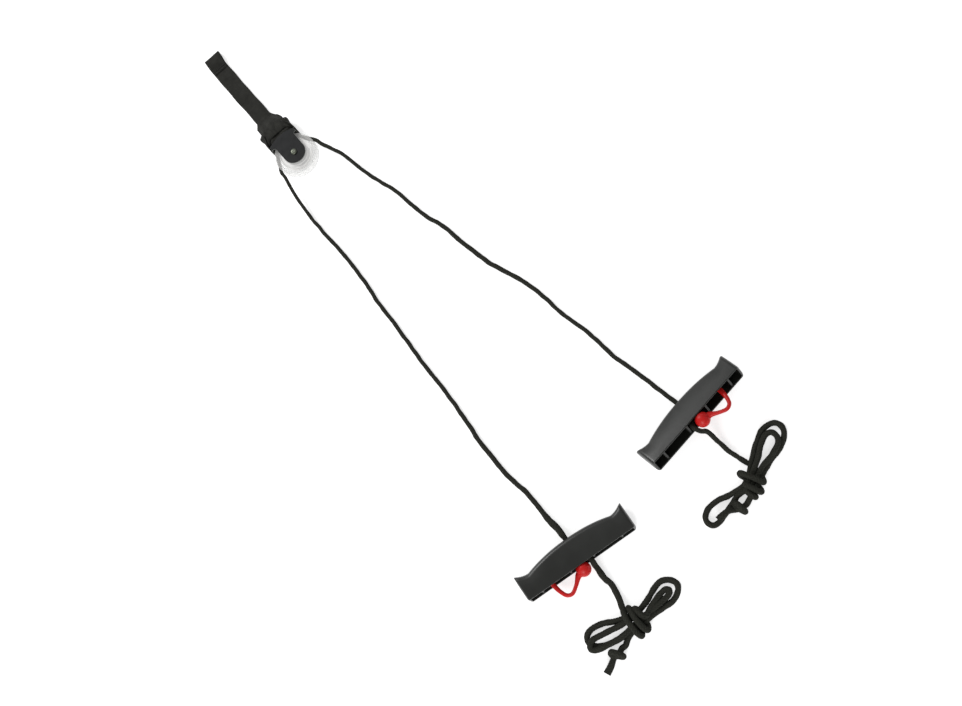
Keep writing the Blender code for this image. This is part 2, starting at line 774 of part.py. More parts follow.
def build_hank(side):
    """Spare cord folded into loops that are wrapped at the waist."""
    loops = [tube(hank_loop(side, *loop), HANK_CORD_RADIUS, closed=True) for loop in side["loops"]]
    waist = ball(WAIST_RADII, side["hank"], side["waist_turn"])
    hank = fill_voids(union(waist, *loops))
    finish_part(hank, "cord_hank_" + side["name"], "cord")


def build_end(side):
    """The cord's last length: a stopper knot, then the cut tip."""
    points = [Vector(p) for p in side["end"]]
    knot = points[-1]
    path = through([*points, Vector(side["end_tip"])], TAIL_STEP)
    end = union(tube(path, CORD_RADIUS), ball(KNOT_RADII, knot, segments=16, rings=10))
    finish_part(end, "cord_end_" + side["name"], "cord")


# ---------------------------------------------------------------- build
clear_scene()
parts = new_collection(OBJECT_NAME)
materials = {name: make_material(name) for name in MATERIALS}
build_strap()
build_hitch()
build_bracket()
build_axle()
build_sheave()
build_cord_over_sheave()
for one_side in (LEFT, RIGHT):
    build_handle(one_side)
    build_plug(one_side)
    build_cord_side(one_side)
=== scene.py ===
"""Looks of the over-door shoulder exercise pulley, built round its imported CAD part."""

import json
from math import atan2, cos, pi, radians, sin, sqrt
from types import SimpleNamespace

import bmesh
import bpy
import numpy as np
from mathutils import Matrix, Vector


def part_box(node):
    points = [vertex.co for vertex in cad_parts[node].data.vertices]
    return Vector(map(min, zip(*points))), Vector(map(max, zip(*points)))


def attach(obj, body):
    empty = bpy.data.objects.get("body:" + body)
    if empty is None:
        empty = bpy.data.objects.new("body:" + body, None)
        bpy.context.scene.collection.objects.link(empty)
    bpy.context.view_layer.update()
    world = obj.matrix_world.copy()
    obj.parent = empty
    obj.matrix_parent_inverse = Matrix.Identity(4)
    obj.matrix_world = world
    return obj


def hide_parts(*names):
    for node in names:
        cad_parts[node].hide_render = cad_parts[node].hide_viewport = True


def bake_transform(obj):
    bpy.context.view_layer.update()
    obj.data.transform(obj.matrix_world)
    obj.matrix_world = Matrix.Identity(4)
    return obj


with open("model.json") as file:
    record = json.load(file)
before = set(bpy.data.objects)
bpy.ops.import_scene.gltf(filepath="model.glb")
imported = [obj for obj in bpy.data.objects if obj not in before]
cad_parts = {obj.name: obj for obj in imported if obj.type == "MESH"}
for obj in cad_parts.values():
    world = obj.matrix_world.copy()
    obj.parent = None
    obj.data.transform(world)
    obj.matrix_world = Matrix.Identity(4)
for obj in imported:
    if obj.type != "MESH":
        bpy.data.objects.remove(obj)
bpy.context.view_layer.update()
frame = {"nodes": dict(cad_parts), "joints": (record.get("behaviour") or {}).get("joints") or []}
joints = {joint["name"]: joint for joint in frame["joints"]}


def box_middle(node):
    low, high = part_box(node)
    return (low + high) / 2


# --- dimensions, from the CAD part
SHEAVE_MID = box_middle("sheave")
MID_Z = SHEAVE_MID.z
SHEAVE_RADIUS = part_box("sheave")[1].x
BRACKET_LOW, BRACKET_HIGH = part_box("pulley_bracket")
EAR_HALF = BRACKET_HIGH.x
CROWN_Y = BRACKET_HIGH.y
TONGUE_RADIUS = -BRACKET_LOW.y
STRAP_END_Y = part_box("strap_webbing")[1].y
CORD_Z = box_middle("cord_over_sheave").z

CORD_RADIUS = 0.0021
CORD_RING = 0.022
CROWN_RADIUS = 0.041
CROWN_CENTRE = CROWN_Y - CROWN_RADIUS
SHEET = 0.0016
EAR_LOW_Y = 0.0192

# handle, in its own frame: x along the grip, -y from the crest to the open side, z through it
HANDLE_HALF = 0.0645
HANDLE_DEPTH = 0.0305
HANDLE_HALF_THICK = 0.00875
HORN_DEPTH = 0.001
NECK_X = 0.0495
NECK_DEPTH = 0.0067
END_ROUND = 0.0034
CORNER_ROUND = 0.0032
CREST_ROUND = 0.0056
WALL = 0.00185
RIB_X = 0.048
BOSS_X = 0.014
RIB_THICK = 0.002
RIB_RECESS = 0.0012
POCKET_DEPTH = 0.015
SOCKET_X = 0.036
SOCKET_HALF = 0.0035
SOCKET_DEPTH = 0.020
BALL_X = 0.002
BALL_DEPTH = 0.0343
BALL_RADIUS = 0.0078
CORD_HOLE = 0.0030
CORD_HOLE_MOUTH = 0.0046
ANCHOR_HOLE = 0.0023
STEM_TOP = 0.0027
STEM_FOOT = 0.0018

LEFT_HANK = (
    # over the waist and under it, twice
    (-0.0560, -0.6205, 0.0122), (-0.0574, -0.6315, 0.0136), (-0.0578, -0.6410, 0.0112),
    (-0.0566, -0.6455, 0.0068), (-0.0540, -0.6420, 0.0031), (-0.0512, -0.6320, 0.0029),
    (-0.0500, -0.6215, 0.0032), (-0.0486, -0.6168, 0.0072), (-0.0484, -0.6200, 0.0118),
    (-0.0500, -0.6300, 0.0141), (-0.0500, -0.6400, 0.0122), (-0.0484, -0.6448, 0.0074),
    (-0.0454, -0.6405, 0.0032), (-0.0440, -0.6310, 0.0030), (-0.0432, -0.6240, 0.0056),
    (-0.0446, -0.6218, 0.0102), (-0.0438, -0.6272, 0.0136), (-0.0412, -0.6340, 0.0122),
    # upper inner loop
    (-0.0350, -0.6318, 0.0088), (-0.0258, -0.6288, 0.0068), (-0.0155, -0.6266, 0.0062),
    (-0.0094, -0.6266, 0.0061), (-0.0070, -0.6296, 0.0060), (-0.0112, -0.6326, 0.0062),
    (-0.0200, -0.6330, 0.0066), (-0.0300, -0.6330, 0.0072), (-0.0420, -0.6330, 0.0078),
    # lower inner loop
    (-0.0560, -0.6330, 0.0080), (-0.0680, -0.6335, 0.0074), (-0.0765, -0.6328, 0.0072),
    (-0.0884, -0.6302, 0.0070), (-0.0985, -0.6268, 0.0066), (-0.1025, -0.6225, 0.0062),
    (-0.0990, -0.6180, 0.0070), (-0.0950, -0.6172, 0.0074), (-0.0880, -0.6182, 0.0068),
    (-0.0767, -0.6212, 0.0062), (-0.0640, -0.6244, 0.0070), (-0.0520, -0.6262, 0.0078),
    # upper outer loop
    (-0.0400, -0.6250, 0.0068), (-0.0284, -0.6222, 0.0044), (-0.0160, -0.6180, 0.0033),
    (-0.0072, -0.6175, 0.0031), (-0.0004, -0.6218, 0.0030), (0.0026, -0.6292, 0.0030),
    (-0.0012, -0.6352, 0.0031), (-0.0110, -0.6392, 0.0032), (-0.0210, -0.6384, 0.0034),
    (-0.0300, -0.6372, 0.0044), (-0.0420, -0.6372, 0.0064),
    # lower outer loop
    (-0.0560, -0.6352, 0.0048), (-0.0680, -0.6338, 0.0034), (-0.0800, -0.6316, 0.0030),
    (-0.0900, -0.6282, 0.0029), (-0.0975, -0.6226, 0.0029), (-0.1002, -0.6160, 0.0030),
    (-0.0970, -0.6100, 0.0031), (-0.0893, -0.6078, 0.0030), (-0.0780, -0.6106, 0.0031),
    (-0.0680, -0.6168, 0.0036), (-0.0590, -0.6210, 0.0052), (-0.0520, -0.6240, 0.0048),
    (-0.0490, -0.6290, 0.0050), (-0.0530, -0.6340, 0.0052),
    # the end
    (-0.0608, -0.6362, 0.0048), (-0.0690, -0.6382, 0.0036), (-0.0745, -0.6412, 0.0030),
)
LEFT = SimpleNamespace(
    name="left",
    leave=radians(155),
    yaw=radians(-6.3),
    roll=0.0,
    anchor=-1,
    waves=(-0.0048, 0.0013, -0.0011, -0.0011, 0.0, -0.0016),
    # (distance along the run, sideways offset, half length) of the kinks that the photo shows
    kinks=((0.010, 0.0012, 0.012), (0.080, -0.0007, 0.028), (0.190, -0.0008, 0.012),
           (0.280, -0.0024, 0.034), (0.385, -0.0012, 0.018), (0.430, -0.0048, 0.036),
           (0.487, -0.0026, 0.020)),
    # (distance, radius): the cord's width follows the photo
    run_girth=((0.0, 0.0019), (0.06, 0.0019), (0.12, 0.0022), (0.35, 0.0023), (0.42, 0.0026),
               (0.50, 0.0027), (0.515, 0.0036), (0.528, 0.0036), (0.538, 0.0026)),
    tail_girth=((0.0, 0.0022), (0.03, 0.0026), (0.045, 0.0032), (0.10, 0.0032), (0.14, 0.0031)),
    past_ball=(),
    tail=((-0.0464, -0.5640, 0.0045), (-0.0474, -0.5790, 0.0032), (-0.0462, -0.5880, 0.0032),
          (-0.0492, -0.6020, 0.0034), (-0.0533, -0.6130, 0.0075)),
    hank=LEFT_HANK,
    knot=Vector((-0.0858, -0.6425, 0.0)),
    knot_turn=radians(8),
    tip=((-0.0985, -0.6472, 0.0027), (-0.1062, -0.6502, 0.0028)),
)
RIGHT_HANK = (
    # under the waist and over it, twice
    (0.1345, -0.5930, 0.0030), (0.1348, -0.6020, 0.0030), (0.1334, -0.6096, 0.0046),
    (0.1310, -0.6122, 0.0090), (0.1285, -0.6075, 0.0128), (0.1250, -0.5995, 0.0137),
    (0.1218, -0.5925, 0.0118), (0.1200, -0.5900, 0.0075), (0.1206, -0.5935, 0.0036),
    (0.1232, -0.6020, 0.0030), (0.1252, -0.6110, 0.0036), (0.1244, -0.6170, 0.0070),
    (0.1222, -0.6170, 0.0115), (0.1192, -0.6105, 0.0137), (0.1168, -0.6040, 0.0132),
    (0.1170, -0.6030, 0.0104), (0.1162, -0.6032, 0.0058), (0.1152, -0.6060, 0.0032),
    (0.1152, -0.6110, 0.0032), (0.1162, -0.6165, 0.0062), (0.1152, -0.6178, 0.0104),
    (0.1134, -0.6130, 0.0120), (0.1148, -0.6070, 0.0094),
    # upper inner loop
    (0.1240, -0.6010, 0.0078), (0.1345, -0.5958, 0.0080), (0.1437, -0.5902, 0.0070),
    (0.1551, -0.5822, 0.0064), (0.1640, -0.5782, 0.0062), (0.1704, -0.5796, 0.0060),
    (0.1722, -0.5850, 0.0060), (0.1700, -0.5905, 0.0072), (0.1640, -0.5945, 0.0078),
    (0.1520, -0.5980, 0.0072), (0.1400, -0.6000, 0.0072), (0.1270, -0.6045, 0.0078),
    # lower loop, over itself on the way back
    (0.1150, -0.6058, 0.0068), (0.1045, -0.6045, 0.0042), (0.0956, -0.6068, 0.0032),
    (0.0845, -0.6092, 0.0030), (0.0745, -0.6118, 0.0030), (0.0672, -0.6105, 0.0030),
    (0.0645, -0.6048, 0.0030), (0.0672, -0.5986, 0.0030), (0.0760, -0.5946, 0.0030),
    (0.0880, -0.5952, 0.0030), (0.0972, -0.5982, 0.0032), (0.1050, -0.6002, 0.0046),
    (0.1160, -0.6010, 0.0052),
    # upper outer loop
    (0.1270, -0.5960, 0.0048), (0.1390, -0.5868, 0.0036), (0.1515, -0.5785, 0.0031),
    (0.1635, -0.5724, 0.0030), (0.1737, -0.5718, 0.0030), (0.1802, -0.5750, 0.0030),
    (0.1826, -0.5815, 0.0030), (0.1800, -0.5880, 0.0030), (0.1727, -0.5938, 0.0030),
    (0.1627, -0.5974, 0.0031), (0.1505, -0.6000, 0.0034), (0.1390, -0.6040, 0.0044),
    (0.1280, -0.6085, 0.0060),
    # the end
    (0.1190, -0.6118, 0.0064), (0.1110, -0.6145, 0.0050),
)
RIGHT = SimpleNamespace(
    name="right",
    leave=radians(30),
    yaw=radians(7.5),
    roll=radians(25),
    anchor=1,
    waves=(0.0066, 0.0, 0.0006, 0.0017, 0.0, -0.0003),
    kinks=((0.035, 0.0027, 0.020), (0.112, 0.0022, 0.020), (0.183, 0.0028, 0.020),
           (0.249, -0.0021, 0.022), (0.304, 0.0016, 0.022), (0.346, -0.0009, 0.012),
           (0.384, 0.0012, 0.016), (0.421, -0.0014, 0.012)),
    run_girth=((0.0, 0.0023), (0.05, 0.0021), (0.10, 0.0021), (0.17, 0.0023), (0.25, 0.0026),
               (0.30, 0.0025), (0.36, 0.0022), (0.47, 0.0024), (0.51, 0.0024)),
    tail_girth=((0.0, 0.0022), (0.04, 0.0025), (0.08, 0.0025), (0.12, 0.0028), (0.16, 0.0030)),
    # (x, depth, z) in the handle: the cord passes under the ball
    past_ball=((-0.0075, 0.0374, -0.0060), (-0.0040, 0.0428, -0.0078)),
    tail=((0.1262, -0.5520, 0.0064), (0.1275, -0.5640, 0.0029),
          (0.1300, -0.5750, 0.0027), (0.1326, -0.5845, 0.0029)),
    hank=RIGHT_HANK,
    knot=Vector((0.0985, -0.6150, 0.0)),
    knot_turn=radians(-14),
    tip=((0.0880, -0.6104, 0.0068), (0.0805, -0.6098, 0.0084), (0.0740, -0.6104, 0.0082)),
)
for one_side in (LEFT, RIGHT):
    one_side.grip = Vector(joints["swivel_" + one_side.name]["pos_m"])

# (x, depth, radius) of the plug's tail, from inside the ball to its anchor
PLUG_TAIL = (
    (0.0040, 0.0346, 0.0036), (0.0090, 0.0364, 0.0036), (0.0122, 0.0388, 0.0027), (0.0170, 0.0432, 0.0021),
    (0.0243, 0.0478, 0.0021), (0.0300, 0.0462, 0.0021), (0.0333, 0.0400, 0.0022), (0.0352, 0.0325, 0.0025),
    (0.0359, 0.0270, 0.0027), (0.0360, 0.0215, 0.0026), (0.0360, 0.0188, 0.0020), (0.0360, 0.0118, 0.0019),
)
# (x, depth) of the cord inside the handle
CORD_IN_HANDLE = (
    (0.0, -0.0006), (0.0, 0.0070), (-0.0003, 0.0140), (-0.0038, 0.0200), (-0.0078, 0.0265), (-0.0098, 0.0330),
)


# --- small helpers
def ease(value):
    value = np.clip(value, 0.0, 1.0)
    return value * value * (3 - 2 * value)


def bump_at(value, centre, width):
    return np.exp(-(((value - centre) / width) ** 2))


def distance_along(path):
    return np.concatenate([[0], np.cumsum(np.linalg.norm(np.diff(path, axis=0), axis=1))])


def tangents(path):
    tangent = np.gradient(path, axis=0)
    return tangent / np.linalg.norm(tangent, axis=1)[:, None]


def through(points, step):
    """Evenly spaced points on a smooth curve through the given points."""
    p = np.array([list(q) for q in points], float)
    p = np.vstack([2 * p[0] - p[1], p, 2 * p[-1] - p[-2]])
    dense = []
    for a, b, c, d in zip(p, p[1:], p[2:], p[3:]):
        count = max(4, int(np.linalg.norm(c - b) / step * 3))
        t = np.arange(count)[:, None] / count
        curve = 2 * b + (c - a) * t + (2 * a - 5 * b + 4 * c - d) * t**2
        dense.append(0.5 * (curve + (3 * b - a - 3 * c + d) * t**3))
    dense = np.vstack([*dense, p[-2:-1]])
    length = distance_along(dense)
    even = np.linspace(0, length[-1], max(3, int(length[-1] / step) + 1))
    return np.stack([np.interp(even, length, dense[:, k]) for k in range(3)], axis=1), even


def carried_frames(path, first=(0, 0, 1)):
    """(normal, binormal) at each point, carried along without twist."""
    tangent = tangents(path)
    normal = np.empty_like(path)
    n = np.array(first, float)
    for i, t in enumerate(tangent):
        n = n - (n @ t) * t
        n /= np.linalg.norm(n)
        normal[i] = n
    return normal, np.cross(tangent, normal)


def rolled_edge(s, start, thinning=0.75):
    """Thickness of a sheet at s, from -1 to 1 across it: whole in the middle and less past start."""
    return sqrt(max(1 - (max(abs(s) - start, 0) / (1 - start)) ** 2 * thinning, 0))


def boxed(value, power):
    """A cosine or sine pushed towards 1 or -1, which turns a circle into a rounded box."""
    return abs(value) ** power * (1 if value >= 0 else -1)


def add_object(name, data):
    obj = bpy.data.objects.new(name, data)
    bpy.context.scene.collection.objects.link(obj)
    return obj


def mesh_from(bm, name):
    mesh = bpy.data.meshes.new(name)
    bm.to_mesh(mesh)
    bm.free()
    return mesh


def grid_object(name, rings, u=None, v=None, around=True, lengthwise=False, attribute=None, sharp=50):
    """A mesh from rings of points. around joins each ring's ends, lengthwise joins the last ring to the
    first, and open ends are capped."""
    rings = np.asarray(rings, float)
    rows, columns = rings.shape[:2]
    u = np.linspace(0, 1, columns + 1) if u is None else np.asarray(u)
    v = np.linspace(0, 1, rows + 1) if v is None else np.asarray(v)
    verts = rings.reshape(-1, 3)
    faces = []
    corners = []
    for r in range(rows if lengthwise else rows - 1):
        below = (r + 1) % rows
        for c in range(columns if around else columns - 1):
            beside = (c + 1) % columns
            upper, lower = r * columns, below * columns
            faces.append((upper + c, upper + beside, lower + beside, lower + c))
            top = v[min(r + 1, len(v) - 1)]
            corners.append(((u[c], v[r]), (u[c + 1], v[r]), (u[c + 1], top), (u[c], top)))
    if around and not lengthwise:
        for r in (0, rows - 1):
            faces.append(tuple(r * columns + c for c in range(columns)))
            corners.append(tuple((u[c], v[r]) for c in range(columns)))
    mesh = bpy.data.meshes.new(name)
    mesh.from_pydata(verts.tolist(), [], faces)
    layer = mesh.uv_layers.new(name="UVMap")
    layer.data.foreach_set("uv", np.array([uv for face in corners for uv in face], np.float32).ravel())
    if attribute is not None:
        values = np.zeros(len(verts), np.float32)
        values[: rows * columns] = np.asarray(attribute, np.float32).ravel()
        mesh.attributes.new("lift", "FLOAT", "POINT").data.foreach_set("value", values)
    face_outwards(mesh)
    return smooth(add_object(name, mesh), sharp)


def flat_u(side):
    """Texture places round a flat section: along its top, back along its underside, and closed."""
    return np.concatenate([side, side[::-1], [side[0]]])


def tube(name, path, reach, sides, first=(0, 0, 1), flat=1.0, **settings):
    """A tube along a path. reach is its radius, by point and by side."""
    normal, binormal = carried_frames(path, first)
    angle = np.linspace(0, 2 * pi, sides, endpoint=False)[None, :, None]
    outward = np.cos(angle) * normal[:, None, :] * flat + np.sin(angle) * binormal[:, None, :]
    return grid_object(name, path[:, None, :] + reach[:, :, None] * outward, **settings)


def face_outwards(mesh):
    bm = bmesh.new()
    bm.from_mesh(mesh)
    bmesh.ops.recalc_face_normals(bm, faces=bm.faces)
    if bm.calc_volume(signed=True) < 0:
        bmesh.ops.reverse_faces(bm, faces=bm.faces)
    bm.to_mesh(mesh)
    bm.free()


def smooth(obj, sharp=50):
    obj.data.shade_smooth()
    obj.data.set_sharp_from_angle(angle=radians(sharp))
    return obj


def even_normals(obj):
    """Keeps flat faces flat where they meet rolled edges."""
    modifier = obj.modifiers.new("Normals", "WEIGHTED_NORMAL")
    modifier.keep_sharp = True
    return obj


def evaluated_mesh(obj):
    bpy.context.view_layer.update()
    graph = bpy.context.evaluated_depsgraph_get()
    return bpy.data.meshes.new_from_object(obj.evaluated_get(graph))


def settle_mesh(obj):
    """Applies the object's modifiers."""
    mesh = evaluated_mesh(obj)
    obj.modifiers.clear()
    obj.data = mesh
    return obj


def boolean(obj, other, operation):
    modifier = obj.modifiers.new("Boolean", "BOOLEAN")
    modifier.operation = operation
    modifier.object = other
    modifier.solver = "EXACT"
    modifier.use_self = operation == "UNION"
    settle_mesh(obj)
    bpy.data.objects.remove(other, do_unlink=True)
    return obj


def join(name, objects):
    """One object from several. Each keeps its own closed surface."""
    bm = bmesh.new()
    for obj in objects:
        start = len(bm.verts)
        bm.from_mesh(obj.data)
        bm.verts.ensure_lookup_table()
        bmesh.ops.transform(bm, matrix=obj.matrix_world, verts=bm.verts[start:])
    first = objects[0]
    for obj in objects[1:]:
        bpy.data.objects.remove(obj, do_unlink=True)
    first.matrix_world = Matrix.Identity(4)
    bm.to_mesh(first.data)
    bm.free()
    first.name = name
    return first


def dress(obj, material):
    obj.data.materials.clear()
    obj.data.materials.append(material)
    return obj


def handle_frame(side):
    turn = Matrix.Rotation(side.yaw, 4, "Z") @ Matrix.Rotation(-side.roll, 4, "X")
    return Matrix.Translation(side.grip) @ turn


def in_handle(side, x, depth, z=0.0):
    return handle_frame(side) @ Vector((x, -depth, z))


# --- materials
class Shader:
    """A material with a Principled shader and short ways to add nodes."""

    def __init__(self, name, colour, roughness, metallic=0.0, **settings):
        self.material = bpy.data.materials.new(name)
        self.material.use_nodes = True
        self.tree = self.material.node_tree
        self.principled = self.tree.nodes["Principled BSDF"]
        self.put("Base Color", (*colour, 1))
        self.put("Roughness", roughness)
        self.put("Metallic", metallic)
        for key, value in settings.items():
            self.put(key.replace("_", " "), value)
        self.material.diffuse_color = (*colour, 1)

    def put(self, socket, value):
        self.assign(self.principled.inputs[socket], value)

    def assign(self, socket, value):
        if isinstance(value, bpy.types.NodeSocket):
            self.tree.links.new(value, socket)
        elif value is not None:
            socket.default_value = value

    def node(self, kind, inputs=None, output=0, **properties):
        node = self.tree.nodes.new("ShaderNode" + kind)
        for key, value in properties.items():
            setattr(node, key, value)
        for key, value in (inputs or {}).items():
            self.assign(node.inputs[key], value)
        return node.outputs[output]

    def math(self, operation, a, b=None, c=None):
        inputs = {0: a}
        if b is not None:
            inputs[1] = b
        if c is not None:
            inputs[2] = c
        return self.node("Math", inputs, operation=operation)

    def split(self, vector):
        node = self.tree.nodes.new("ShaderNodeSeparateXYZ")
        self.assign(node.inputs[0], vector)
        return node.outputs

    def noise(self, scale, detail=3.0, roughness=0.55, where=None):
        where = where or self.node("TexCoord", output="Object")
        inputs = {"Vector": where, "Scale": scale, "Detail": detail, "Roughness": roughness}
        return self.node("TexNoise", inputs)

    def ramp(self, value, low, high, at_low=0, at_high=1):
        return self.node("MapRange", {"Value": value, "From Min": low, "From Max": high,
                                      "To Min": at_low, "To Max": at_high})

    def mix(self, share, a, b):
        node = self.tree.nodes.new("ShaderNodeMix")
        node.data_type = "RGBA"
        self.assign(node.inputs["Factor"], share)
        for socket, value in ((node.inputs[6], a), (node.inputs[7], b)):
            self.assign(socket, value if isinstance(value, bpy.types.NodeSocket) else (*value, 1))
        return node.outputs[2]

    def bump(self, height, distance, strength=1.0):
        self.put("Normal", self.node("Bump", {"Height": height, "Distance": distance, "Strength": strength}))


def cord_material():
    s = Shader("cord_braid", (0.018, 0.018, 0.015), 0.95)
    lift = s.node("Attribute", attribute_name="lift", output="Fac")
    fibre = s.noise(2600, 2)
    # painted shade: the braid is darker down in its grooves, where lift is low, mixed with random fibre tone
    both = s.math("ADD", s.math("MULTIPLY", lift, 0.7), s.math("MULTIPLY", fibre, 0.6))
    shade = s.ramp(both, 0.1, 1.2)
    s.put("Base Color", s.mix(shade, (0.008, 0.008, 0.006), (0.038, 0.039, 0.032)))
    s.put("Specular IOR Level", 0.12)
    s.bump(fibre, 0.00012)
    return s.material


WARP_PITCH = 0.0013
WEFT_PITCH = 0.0011


def webbing_material():
    s = Shader("webbing_weave", (0.030, 0.030, 0.027), 0.9)
    place = s.split(s.node("UVMap"))
    warp = s.math("SINE", s.math("MULTIPLY", place[0], 2 * pi / WARP_PITCH))
    weft = s.math("SINE", s.math("MULTIPLY", place[1], 2 * pi / WEFT_PITCH))
    weave = s.math("MULTIPLY", warp, weft)
    rib = s.math("MULTIPLY", weft, 0.6)
    height = s.math("MULTIPLY_ADD", s.math("ADD", weave, rib), 0.3, 0.5)
    wear = s.noise(140, 3)
    # painted shade: the weave is darker where it lies low, mixed with uneven wear tone from the noise
    shade = s.math("MULTIPLY_ADD", height, 0.45, s.math("MULTIPLY", wear, 0.7))
    shade = s.ramp(shade, 0.25, 0.9)
    s.put("Base Color", s.mix(shade, (0.013, 0.013, 0.0112), (0.039, 0.039, 0.0345)))
    s.put("Specular IOR Level", 0.2)
    s.bump(height, 0.00022)
    return s.material


def thread_material():
    s = Shader("sewing_thread", (0.020, 0.020, 0.018), 0.7)
    s.bump(s.noise(3000, 1), 0.0001)
    return s.material


def handle_material():
    s = Shader("satin_black_moulding", (0.014, 0.015, 0.0135), 0.36)
    grain = s.noise(1500, 3)
    broad = s.noise(45, 2)
    s.put("Base Color", s.mix(broad, (0.0088, 0.0094, 0.0080), (0.0158, 0.0168, 0.0147)))
    s.put("Roughness", s.ramp(broad, 0.3, 0.7, 0.31, 0.42))
    s.bump(grain, 0.00005, 0.6)
    return s.material


def plug_material():
    s = Shader("red_elastomer", (0.55, 0.018, 0.018), 0.42)
    broad = s.noise(90, 2)
    s.put("Base Color", s.mix(broad, (0.50, 0.007, 0.007), (0.62, 0.012, 0.011)))
    s.put("Specular IOR Level", 0.3)
    s.put("Subsurface Weight", 0.12)
    s.put("Subsurface Radius", (0.004, 0.001, 0.001))
    s.put("Subsurface Scale", 0.6)
    s.bump(s.noise(900, 2), 0.00004, 0.5)
    return s.material


def painted_steel():
    """Black paint, with a light steel tone on the sideways faces: bare steel where the sheet was cut, and a
    painted highlight along the crown, where the sheet bends into the bridge.
    """
    s = Shader("painted_steel_worn", (0.010, 0.011, 0.012), 0.42)
    upright = s.split(s.node("TexCoord", output="Normal"))[2]
    side_on = s.math("SUBTRACT", 1.0, s.math("ABSOLUTE", upright))
    patchy = s.math("MULTIPLY_ADD", s.noise(500, 3), 0.9, s.math("SUBTRACT", side_on, 0.75))
    # sideways faces turn light steel: bare steel on the cut edges, and a painted highlight along the crown
    bare_edge_and_painted_highlight = s.ramp(patchy, 0.05, 0.45)
    s.put("Base Color", s.mix(bare_edge_and_painted_highlight, (0.0042, 0.0048, 0.0056), (0.26, 0.27, 0.26)))
    s.put("Metallic", s.math("MULTIPLY", bare_edge_and_painted_highlight, 0.9))
    s.put("Roughness", s.ramp(s.noise(200, 3), 0.3, 0.7, 0.42, 0.58))
    s.put("Specular IOR Level", 0.26)
    s.bump(s.noise(1200, 2), 0.00004, 0.5)
    return s.material


def bright_steel():
    s = Shader("plated_steel", (0.38, 0.41, 0.34), 0.5, metallic=0.85)
    marks = s.noise(700, 4)
    s.put("Base Color", s.mix(marks, (0.10, 0.11, 0.085), (0.24, 0.26, 0.21)))
    s.put("Roughness", s.ramp(marks, 0.3, 0.7, 0.3, 0.55))
    s.bump(marks, 0.00005)
    return s.material


def rod_material():
    s = Shader("dowel", (0.35, 0.27, 0.17), 0.6)
    squeezed = s.node("Mapping", {"Vector": s.node("TexCoord", output="Object"), "Scale": (0.08, 1, 1)})
    grain = s.noise(2500, 3, where=squeezed)
    s.put("Base Color", s.mix(grain, (0.24, 0.17, 0.10), (0.46, 0.36, 0.24)))
    s.bump(grain, 0.00006)
    return s.material


def sheave_material():
    """Milky plastic: the web is nearly opaque, the cord shows through the flanges, edges look greyer, and a
    faint painted glow, stronger on the web than on the flanges, lifts its shaded parts.
    """
    s = Shader("milky_plastic", (0.76, 0.80, 0.82), 0.26)
    cloud = s.noise(160, 3)
    place = s.split(s.node("TexCoord", output="Object"))
    reach = s.math("SQRT", s.math("ADD", s.math("POWER", place[0], 2), s.math("POWER", place[1], 2)))
    flange = s.ramp(reach, 0.0172, 0.0190)
    facing = s.node("LayerWeight", {"Blend": 0.5}, output="Facing")
    edge = s.ramp(facing, 0.45, 0.95)
    milk = s.mix(cloud, (0.77, 0.765, 0.75), (0.84, 0.83, 0.82))
    rim = s.math("MULTIPLY", edge, s.math("MULTIPLY_ADD", flange, 0.7, 0.3))
    s.put("Base Color", s.mix(rim, milk, (0.33, 0.42, 0.47)))
    # painted glow: emission that lifts the plastic where it is shaded
    s.put("Emission Color", (0.95, 0.95, 0.94, 1))
    s.put("Emission Strength", s.ramp(flange, 0, 1, 0.15, 0.09))
    uneven = s.math("MULTIPLY", s.math("SUBTRACT", cloud, 0.5), 0.1)
    cover = s.math("ADD", s.ramp(flange, 0, 1, 0.86, 0.30), uneven)
    s.put("Alpha", s.math("ADD", cover, s.math("MULTIPLY", rim, 0.3)))
    s.put("Roughness", s.ramp(cloud, 0.3, 0.7, 0.34, 0.5))
    s.put("Specular IOR Level", 0.22)
    return s.material


# --- cord
STRANDS = 5
STRAND_PITCH = 0.0062
ROPE_STEP = 0.0008
# where the first normal points
ROPE_SIDE = (0.13, 0.31, 0.94)
# wavelengths of the cord's wander, and of its uneven width
LONG_WAVES = (0.047, 0.029, 0.0173)
SHORT_WAVES = (0.021, 0.0127, 0.0077)


def braid(around, along):
    """Height, 0 to 1, of a braided surface."""
    turns = along / STRAND_PITCH * 2
    a = around * STRANDS + turns
    b = -around * STRANDS + turns
    over = (np.floor(a) + np.floor(b)) % 2
    ridge_a = np.sin(pi * (a - np.floor(a)))
    ridge_b = np.sin(pi * (b - np.floor(b)))
    return np.where(over == 0, ridge_a, ridge_b)


